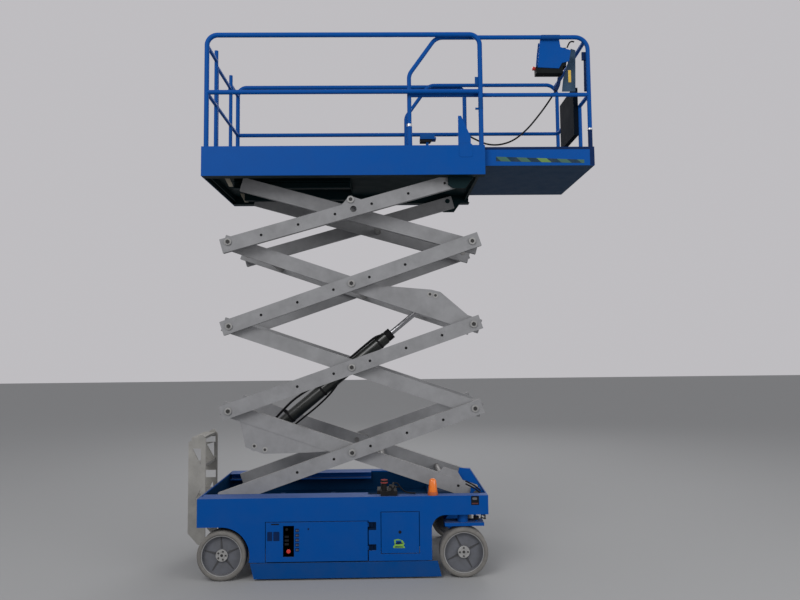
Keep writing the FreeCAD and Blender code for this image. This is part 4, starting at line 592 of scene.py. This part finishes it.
build("tray_straps", "chassis", DARK_BLUE, "dark_blue_paint",
      *((add_box, at(x - STRAP_HALF, low_y, TRAY_FLOOR), at(x + STRAP_HALF, high_y, STRAP_TOP))
        for x in STRAPS for low_y, high_y in ((-0.36, -0.13), (0.13, 0.36))), bevel=0.001)
build("tray_manifold", "chassis", BOLT, "steel",
      (add_box, at(0.25, 0.10, TRAY_FLOOR), at(0.42, 0.26, MANIFOLD_TOP)),
      (add_rod, at(0.30, MANIFOLD_Y, MANIFOLD_TOP), at(0.30, MANIFOLD_Y, 0.56), 0.020),
      (add_rod, at(0.37, MANIFOLD_Y, MANIFOLD_TOP), at(0.37, MANIFOLD_Y, 0.55), 0.016), bevel=0.002)


# scissor stack: a plate and a bolt on every pin head, lower ones where the deck comes down

HEAD_RADIUS, HEAD_THICK = 0.0280, 0.0030
PIN_BOLT_RADIUS, PIN_BOLT_START, PIN_BOLT_END, LOW_BOLT_END = 0.0165, 0.0025, 0.0095, 0.0045
TOP_STAGE = 4
lift = joint_at("lift")
near_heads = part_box("pivot_pins_2")[1][1]
far_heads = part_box("pivot_pins_3")[1][1]

for stage in range(1, TOP_STAGE + 1):
    top = stage == TOP_STAGE
    pins = []
    if stage > 1:
        foot = Vector((lift.x, 0, joint_at(f"left_{stage - 1}").z))
        pins.append((foot, near_heads))
    pins.append((joint_at(f"centre_{stage}"), far_heads if top else near_heads))
    if not top:
        pins.append((joint_at(f"left_{stage}"), far_heads if stage == 3 else near_heads))
    plates, bolts = [], []
    for side, sign in SIDES:
        out = Vector((0, sign, 0))
        for place, reach in pins:
            start = Vector((place.x, sign * reach, place.z))
            plates.append((add_rod, start, start + out * HEAD_THICK, HEAD_RADIUS, 32))
            bolts.append((add_rod, start + out * PIN_BOLT_START,
                          start + out * (LOW_BOLT_END if top else PIN_BOLT_END), PIN_BOLT_RADIUS, 6))
    build(f"pin_bolts_{stage}", f"inner_{stage}", BOLT, "steel", *bolts)
    build(f"pin_plates_{stage}", f"inner_{stage}", PIN_GREY, "grey_paint", *plates)

# bolts on the gussets over the cylinder's pins: stage, the pin's x and z, and the places counted from it
GUSSET_FACE, GUSSET_PLATE_RADIUS, GUSSET_BOLT_RADIUS = 0.364, 0.021, 0.012
GUSSETS = (
    (1, -0.7197, 0.9804, ((0.0, 0.0), (0.085, -0.030))),
    (3, 0.7473, 2.1760, ((0.0, 0.0), (-0.045, 0.010))),
)
for stage, x, z, spots in GUSSETS:
    plates, bolts = [], []
    for side, sign in SIDES:
        out = Vector((0, sign, 0))
        for along, up in spots:
            spot = at(x + along, sign * GUSSET_FACE, z + up)
            plates.append((add_rod, spot - out * 0.001, spot + out * 0.0020, GUSSET_PLATE_RADIUS, 32))
            bolts.append((add_rod, spot + out * 0.0015, spot + out * 0.0028, GUSSET_BOLT_RADIUS, 6))
    build(f"gusset_plates_{stage}", f"inner_{stage}", PIN_GREY, "grey_paint", *plates)
    build(f"gusset_bolts_{stage}", f"inner_{stage}", BOLT, "steel", *bolts)


# lift cylinder: hoses clamped beside the barrel, bands and gland

CYLINDER_LENGTH = 1.8923
slide = Vector(joints["cylinder_slide"]["axis"])
way = -slide
side_way = Vector((0, 1, 0))
above = way.cross(side_way).normalized()
if above.z < 0:
    above = -above
base = joint_at("rod_pivot") + slide * CYLINDER_LENGTH
UPPER_HOSE = ((1.36, 0.030, 0.030), (1.32, 0.060, 0.030), (1.22, 0.064, 0.031), (0.95, 0.060, 0.030),
              (0.70, 0.062, 0.030), (0.55, 0.083, 0.028), (0.42, 0.096, 0.028), (0.32, 0.088, 0.028),
              (0.22, 0.074, 0.028), (0.12, 0.062, 0.026), (0.075, 0.030, 0.024))
LOWER_HOSE = ((0.78, -0.044, 0.020), (0.71, -0.066, 0.022), (0.55, -0.080, 0.026), (0.38, -0.077, 0.028),
              (0.22, -0.074, 0.028), (0.10, -0.062, 0.024), (0.08, -0.030, 0.020))
BARREL_HOSES = (("barrel_hose_", UPPER_HOSE, 0.009), ("barrel_hose_low_", LOWER_HOSE, 0.008))
BANDS, BAND_WIDTH, BAND_RADIUS = (0.30, 0.65, 1.00, 1.28), 0.018, 0.056


def by_barrel(along, out=0, over=0):
    """A point counted from the base eye: along the cylinder, above its line and to the left of it."""
    return base + way * along + above * out + side_way * over


for index, sign in enumerate((-1, 1)):
    for name, points, radius in BARREL_HOSES:
        line(f"{name}{index}", "cylinder_barrel", HOSE,
             [by_barrel(along, out, sign * over) for along, out, over in points], radius)
build("barrel_bands", "cylinder_barrel", BLACK, "black_paint",
      *((add_rod, by_barrel(along), by_barrel(along + BAND_WIDTH), BAND_RADIUS, 40) for along in BANDS),
      (add_rod, by_barrel(0.30, 0.05), by_barrel(0.30, 0.074), 0.014))
build("barrel_gland", "cylinder_barrel", BLACK, "black_paint",
      (add_rod, by_barrel(1.372), by_barrel(1.428), 0.0485, 40), bevel=0.003)


# platform: tread plates, with raised studs on the part that the roll-out deck leaves free

ext_low, ext_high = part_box("extension_deck")
ROLL_OUT_FLOOR = 3.210
STUD_HALF, STUD_LENGTH, STUD_LOW, STUD_TOP = 0.012, 0.012, 3.2002, 3.2018
STUD_COLUMNS = [-1.07 + 0.048 * step for step in range(32)]
STUD_ROWS = [-0.42 + 0.105 * step for step in range(9)]

build("deck_tread", "platform", DECK, "steel",
      (add_box, at(-1.096, -0.462, 3.1982), at(1.138, 0.462, 3.2005)))
build("deck_tread_pattern", "platform", DECK, "steel",
      *((add_box, at(x, y - STUD_HALF, STUD_LOW), at(x + STUD_LENGTH, y + STUD_HALF, STUD_TOP))
        for x in STUD_COLUMNS for y in STUD_ROWS))
build("extension_tread", "extension", DECK, "steel",
      (add_box, (ext_low[0] + 0.01, -0.515, ROLL_OUT_FLOOR - 0.0005),
       (ext_high[0] - 0.02, 0.515, ROLL_OUT_FLOOR + 0.001)))


# roll-out deck's boards: faded chevrons along a band that falls a little to the front, and dark lips

BAND = (1.238, 1.950)
BAND_TOP, BAND_LOW = (3.278, 3.250), (3.240, 3.222)
PITCH, STRIPE, LEAN = 0.163, 0.082, 0.040
STRIPE_BACK, STRIPE_THICK, LIP_THICK = 0.0006, 0.0012, 0.0014
STRIPE_FINISHES = (STRIPE_TEAL, STRIPE_TEAL, STRIPE_BRIGHT, STRIPE_TEAL, STRIPE_TEAL)
LIPS = (rectangle((1.145, 3.336), (2.034, 3.3565)), rectangle((1.998, 3.206), (2.034, 3.336)))


def board_plate(sign, outline, thick):
    """The form of a thin plate on the roll-out deck's side board."""
    face = sign * ext_high[1]
    return add_plate, outline, face, face + sign * thick


def band_outline(*corners):
    """An outline kept inside the band, from (x, edge) corners where an edge is BAND_TOP or BAND_LOW."""
    outline = []
    for x, (rear_z, front_z) in corners:
        x = min(max(x, BAND[0]), BAND[1])
        outline.append((x, rear_z + (front_z - rear_z) * (x - BAND[0]) / (BAND[1] - BAND[0])))
    return outline


for side, sign in SIDES:
    whole = band_outline((BAND[0], BAND_LOW), (BAND[1], BAND_LOW), (BAND[1], BAND_TOP), (BAND[0], BAND_TOP))
    build("chevrons_dark_" + side, "extension", STRIPE_DARK, "dark_blue_paint",
          board_plate(sign, whole, STRIPE_BACK))
    for index, finish in enumerate(STRIPE_FINISHES):
        start = BAND[0] + PITCH * index
        stripe = band_outline((start + LEAN, BAND_LOW), (start + LEAN + STRIPE, BAND_LOW),
                              (start + STRIPE, BAND_TOP), (start, BAND_TOP))
        build(f"chevron_{index}_{side}", "extension", finish, "blue_paint",
              board_plate(sign, stripe, STRIPE_THICK))
    build("board_lip_" + side, "extension", NAVY, "dark_blue_paint",
          *(board_plate(sign, outline, LIP_THICK) for outline in LIPS))


# platform fittings: lever plate on the fascia, rings and tabs on the posts, dark sleeves of painted shade low on
# the corner posts, wear pads, pedal

FASCIA = 0.5795
CORNER_POST, SLOPE_POST, MAIN_POST = (2.011, 0.5045), (0.546, 0.5045), (1.119, 0.5525)
TAB_LEVELS = ((3.859, 3.925), (3.656, 3.672))
WEAR_PAD = ((-0.990, 3.180), (-0.950, 3.180), (-0.915, 3.100), (-0.948, 3.100))
PEDAL_COVER = ((0.002, 3.474), (0.127, 3.486), (0.116, 3.448), (0.002, 3.448))
PEDAL_BLOCK = ((0.000, 3.4475), (0.110, 3.4475), (0.084, 3.414), (0.000, 3.414))

build("lever_pad", "platform", BLUE, "blue_paint",
      (add_plate, rounded((0.937, 3.262), (1.045, 3.371), 0.018), -FASCIA, -(FASCIA + 0.0025)), bevel=0.001)

rings, shade_sleeves, bands, tabs = [], [], [], []
for side, sign in SIDES:
    x, y = CORNER_POST[0], sign * CORNER_POST[1]
    rings.append((add_rod, at(x, y, 3.500), at(x, y, 3.513), 0.0205, 32))
    shade_sleeves.append((add_rod, at(x, y, 3.212), at(x, y, 3.500), 0.0178, 32))
    x, y = SLOPE_POST[0], sign * (SLOPE_POST[1] - 0.0043)
    rings.append((add_rod, at(x, y, 3.535), at(x, y, 3.556), 0.0218, 32))
    x, y = MAIN_POST[0], sign * MAIN_POST[1]
    bands.append((add_rod, at(x, y, 3.655), at(x, y, 3.748), 0.0196, 32))
    for low_z, high_z in TAB_LEVELS:
        tabs.append((add_box, at(x - 0.044, y - 0.004, low_z), at(x - 0.017, y + 0.004, high_z)))
build("post_rings", "extension", RING, "steel", *rings)
# The dark navy sleeves on the corner posts' lower parts are painted shade.
build("post_shade_sleeves", "extension", NAVY, "dark_blue_paint", *shade_sleeves)
build("post_bands", "platform", DARK_BLUE, "dark_blue_paint", *bands)
build("post_tabs", "platform", DARK_BLUE, "dark_blue_paint", *tabs, bevel=0.001)

build("wear_pads", "platform", IVORY, "slider_plastic",
      (add_plate, WEAR_PAD, -0.320, -0.308), (add_plate, WEAR_PAD, 0.284, 0.296), bevel=0.001)

pedal_low, pedal_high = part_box("extension_pedal")
build("pedal_cover", "extension", DARK_BLUE, "black_paint",
      (add_plate, PEDAL_COVER, pedal_low[1] - 0.001, pedal_high[1] + 0.001, pedal_low[0]), bevel=0.002)
build("pedal_block", "extension", BLACK, "black_paint",
      (add_plate, PEDAL_BLOCK, pedal_low[1] + 0.010, pedal_high[1] - 0.010, pedal_low[0]), bevel=0.002)


# cable from the control box to the gland on the rail lever, hanging over the deck

CABLE = ((1.790, -0.440, 3.9847), (1.788, -0.440, 3.925), (1.768, -0.438, 3.871), (1.728, -0.435, 3.808),
         (1.672, -0.432, 3.726), (1.602, -0.429, 3.634), (1.512, -0.425, 3.528), (1.402, -0.421, 3.440),
         (1.290, -0.417, 3.406), (1.188, -0.414, 3.411), (1.104, -0.413, 3.448), (1.032, -0.418, 3.486),
         (0.992, -0.444, 3.499), (0.972, -0.482, 3.505), (0.972, -0.5252, 3.505))
SLEEVE_LOW, SLEEVE_TOP, SLEEVE_RADIUS = 3.850, 3.972, 0.0145
route = [at(*point) for point in CABLE]
cable = line("cable_line", "extension", HOSE, route, 0.007)
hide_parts("control_cable")


def smooth_places(points):
    """The places along a cord's own smooth line."""
    plain = bpy.data.objects.new("route", smooth_curve("route", points))
    mesh = bpy.data.meshes.new_from_object(plain)
    places = [vertex.co.copy() for vertex in mesh.vertices]
    bpy.data.meshes.remove(mesh)
    bpy.data.objects.remove(plain)
    return places


upper = [place for place in smooth_places(route) if SLEEVE_LOW < place.z < SLEEVE_TOP]
sleeve = build("cable_sleeve", "extension", NAVY, "cable_black",
               *((add_rod, start, stop, SLEEVE_RADIUS, 20) for start, stop in zip(upper, upper[1:])))


# control box on the roll-out rails: blue cheeks on both sides, a slate bracket behind them

CHEEK = ((1.630, 4.275), (1.782, 4.275), (1.793, 4.201), (1.876, 4.175), (1.860, 4.083), (1.802, 4.070),
         (1.776, 4.024), (1.604, 4.033), (1.615, 4.159))
HOLDER = ((1.904, 4.230), (1.943, 4.217), (1.934, 3.864), (1.821, 3.864), (1.833, 3.968), (1.875, 4.106))
CONTROL_HOSE = ((1.918, -0.450, 4.262), (1.896, -0.450, 4.270), (1.872, -0.450, 4.250),
                (1.859, -0.450, 4.214))
NEAR_CHEEK_SCALE = 1.012
heart = [sum(values) / len(CHEEK) for values in zip(*CHEEK)]
near_cheek = [tuple(middle + (value - middle) * NEAR_CHEEK_SCALE for middle, value in zip(heart, corner))
              for corner in CHEEK]

build("control_plate", "extension", BLUE, "blue_paint",
      (add_plate, near_cheek, -0.4890, -0.4785), bevel=0.001)
build("control_cheek", "extension", BLUE, "blue_paint",
      (add_plate, CHEEK, -0.3990, -0.3950), bevel=0.001)
build("control_holder", "extension", BRACKET, "dark_blue_paint",
      (add_plate, HOLDER, -0.3945, -0.3900), bevel=0.001)
build("corner_box", "extension", NAVY, "dark_blue_paint",
      (add_box, at(1.966, -0.494, 4.090), at(2.000, -0.478, 4.157)),
      (add_rod, at(2.002, -0.470, 4.155), at(1.998, -0.470, 3.838), 0.015), bevel=0.001)
line("control_hose", "extension", HOSE, [at(*point) for point in CONTROL_HOSE], 0.006)
build("control_hook", "extension", DARK_BLUE, "dark_blue_paint",
      (add_rod, at(1.632, -0.5045, 4.276), at(1.782, -0.5045, 4.276), 0.0196, 32))
build("control_case", "extension", PLASTIC, "black_plastic",
      (add_box, at(1.592, -0.482, 3.984), at(1.813, -0.402, 4.047)), bevel=0.004)
build("control_stop", "extension", RED, "valve_red",
      (add_rod, at(1.567, -0.440, 4.042), at(1.602, -0.440, 4.036), 0.016, 24, 0.013), bevel=0.002)
build("joystick", "extension", HOSE, "black_plastic",
      (add_rod, at(1.700, -0.420, 4.045), at(1.705, -0.420, 4.150), 0.010),
      (add_rod, at(1.705, -0.420, 4.150), at(1.706, -0.420, 4.205), 0.019, 24, 0.016),
      (add_rod, at(1.700, -0.420, 4.042), at(1.700, -0.420, 4.062), 0.030, 24, 0.018), bevel=0.001)
build("control_tag", "extension", TAG, "blue_paint",
      (add_box, at(1.852, -0.486, 3.906), at(1.874, -0.480, 4.007)))


# small fittings around the steering, and hoses along the lowest arm

FITTINGS_Y = -0.500
FITTINGS = (((1.062, 0.462), (1.104, 0.440), 0.006), ((1.066, 0.430), (1.106, 0.419), 0.005),
            ((1.100, 0.416), (1.100, 0.480), 0.005), ((1.072, 0.426), (1.072, 0.480), 0.004))
FRONT_HOSE = ((0.955, 0.705), (0.985, 0.690), (1.020, 0.672), (1.050, 0.650), (1.075, 0.628))

build("steering_fittings", "chassis", BOLT, "steel",
      *((add_rod, at(start[0], FITTINGS_Y, start[1]), at(stop[0], FITTINGS_Y, stop[1]), radius)
        for start, stop, radius in FITTINGS))
for index in (0, 1):
    line(f"front_hose_{index}", "chassis", HOSE,
         [at(x, -0.470 - 0.014 * index, z - 0.020 * index) for x, z in FRONT_HOSE], 0.006)


# camera, lights, background and floor

FOCAL_PIXELS, PHOTO_WIDTH, SENSOR = 669.93, 800, 36.0
CAMERA_PLACE = (0.3666, -5.8088, 1.7673)
CAMERA_YAW, CAMERA_PITCH, CAMERA_ROLL = 0.0167, 0.0685, -0.010
LAMPS = (
    ("key", (-3.5, -6.5, 6.5), (0, 0, 2.0), 300),
    ("fill", (5.0, -4.5, 3.0), (0, 0, 1.8), 130),
    ("back", (1.0, 6.0, 6.0), (0, 0, 2.0), 150),
)
LAMP_SIZE = 4.0
FLOOR_HALF, FLOOR_LEVEL = 30, -0.0005


def aim(yaw, pitch, roll):
    """A camera's turn: yaw to the right, pitch up and roll, in radians."""
    right = Vector((math.cos(yaw), -math.sin(yaw), 0))
    ahead = Vector((math.sin(yaw) * math.cos(pitch), math.cos(yaw) * math.cos(pitch), math.sin(pitch)))
    up = right.cross(ahead)
    right, up = right * math.cos(roll) + up * math.sin(roll), up * math.cos(roll) - right * math.sin(roll)
    return Matrix((right, up, -ahead)).transposed().to_4x4()


camera = bpy.data.cameras.new("camera")
camera.sensor_width = SENSOR
camera.lens = FOCAL_PIXELS / PHOTO_WIDTH * SENSOR
viewpoint = bpy.data.objects.new("camera", camera)
viewpoint.matrix_world = (Matrix.Translation(at(*CAMERA_PLACE))
                          @ aim(CAMERA_YAW, CAMERA_PITCH, CAMERA_ROLL))
bpy.context.scene.collection.objects.link(viewpoint)
bpy.context.scene.camera = viewpoint

for name, place, target, power in LAMPS:
    light = bpy.data.lights.new(name, "AREA")
    light.size = LAMP_SIZE
    light.energy = power
    lamp = bpy.data.objects.new(name, light)
    lamp.location = place
    lamp.rotation_euler = (Vector(target) - Vector(place)).to_track_quat("-Z", "Y").to_euler()
    bpy.context.scene.collection.objects.link(lamp)

# The background that is seen, directly or in what shines, is paler than the light it gives.
world = bpy.data.worlds.new("world")
bpy.context.scene.world = world
world.use_nodes = True
tree = world.node_tree
sky = tree.nodes["Background"]
sky.inputs["Color"].default_value = (0.85, 0.86, 0.88, 1)
sky.inputs["Strength"].default_value = 0.55
seen = tree.nodes.new("ShaderNodeBackground")
seen.inputs["Color"].default_value = (0.52, 0.51, 0.53, 1)
seen.inputs["Strength"].default_value = 1.0
path = tree.nodes.new("ShaderNodeLightPath")
choose = tree.nodes.new("ShaderNodeMixShader")
background_rays = path.outputs["Is Camera Ray"]
for kind in ("Is Glossy Ray", "Is Transmission Ray"):
    background_rays = calculated(tree, "MAXIMUM", background_rays, path.outputs[kind])
tree.links.new(background_rays, choose.inputs["Fac"])
tree.links.new(sky.outputs["Background"], choose.inputs[1])
tree.links.new(seen.outputs["Background"], choose.inputs[2])
tree.links.new(choose.outputs["Shader"], tree.nodes["World Output"].inputs["Surface"])

ground = bmesh.new()
bmesh.ops.create_grid(ground, x_segments=1, y_segments=1, size=FLOOR_HALF)
floor_mesh = bpy.data.meshes.new("floor")
ground.to_mesh(floor_mesh)
ground.free()
floor = bpy.data.objects.new("floor", floor_mesh)
floor.location.z = FLOOR_LEVEL
floor_finish = bpy.data.materials.new("floor")
floor_finish.use_nodes = True
floor_shader = floor_finish.node_tree.nodes["Principled BSDF"]
floor_shader.inputs["Base Color"].default_value = (0.34, 0.34, 0.345, 1)
floor_shader.inputs["Roughness"].default_value = 0.9
floor_mesh.materials.append(floor_finish)
bpy.context.scene.collection.objects.link(floor)

bpy.context.scene.view_settings.view_transform = "Standard"
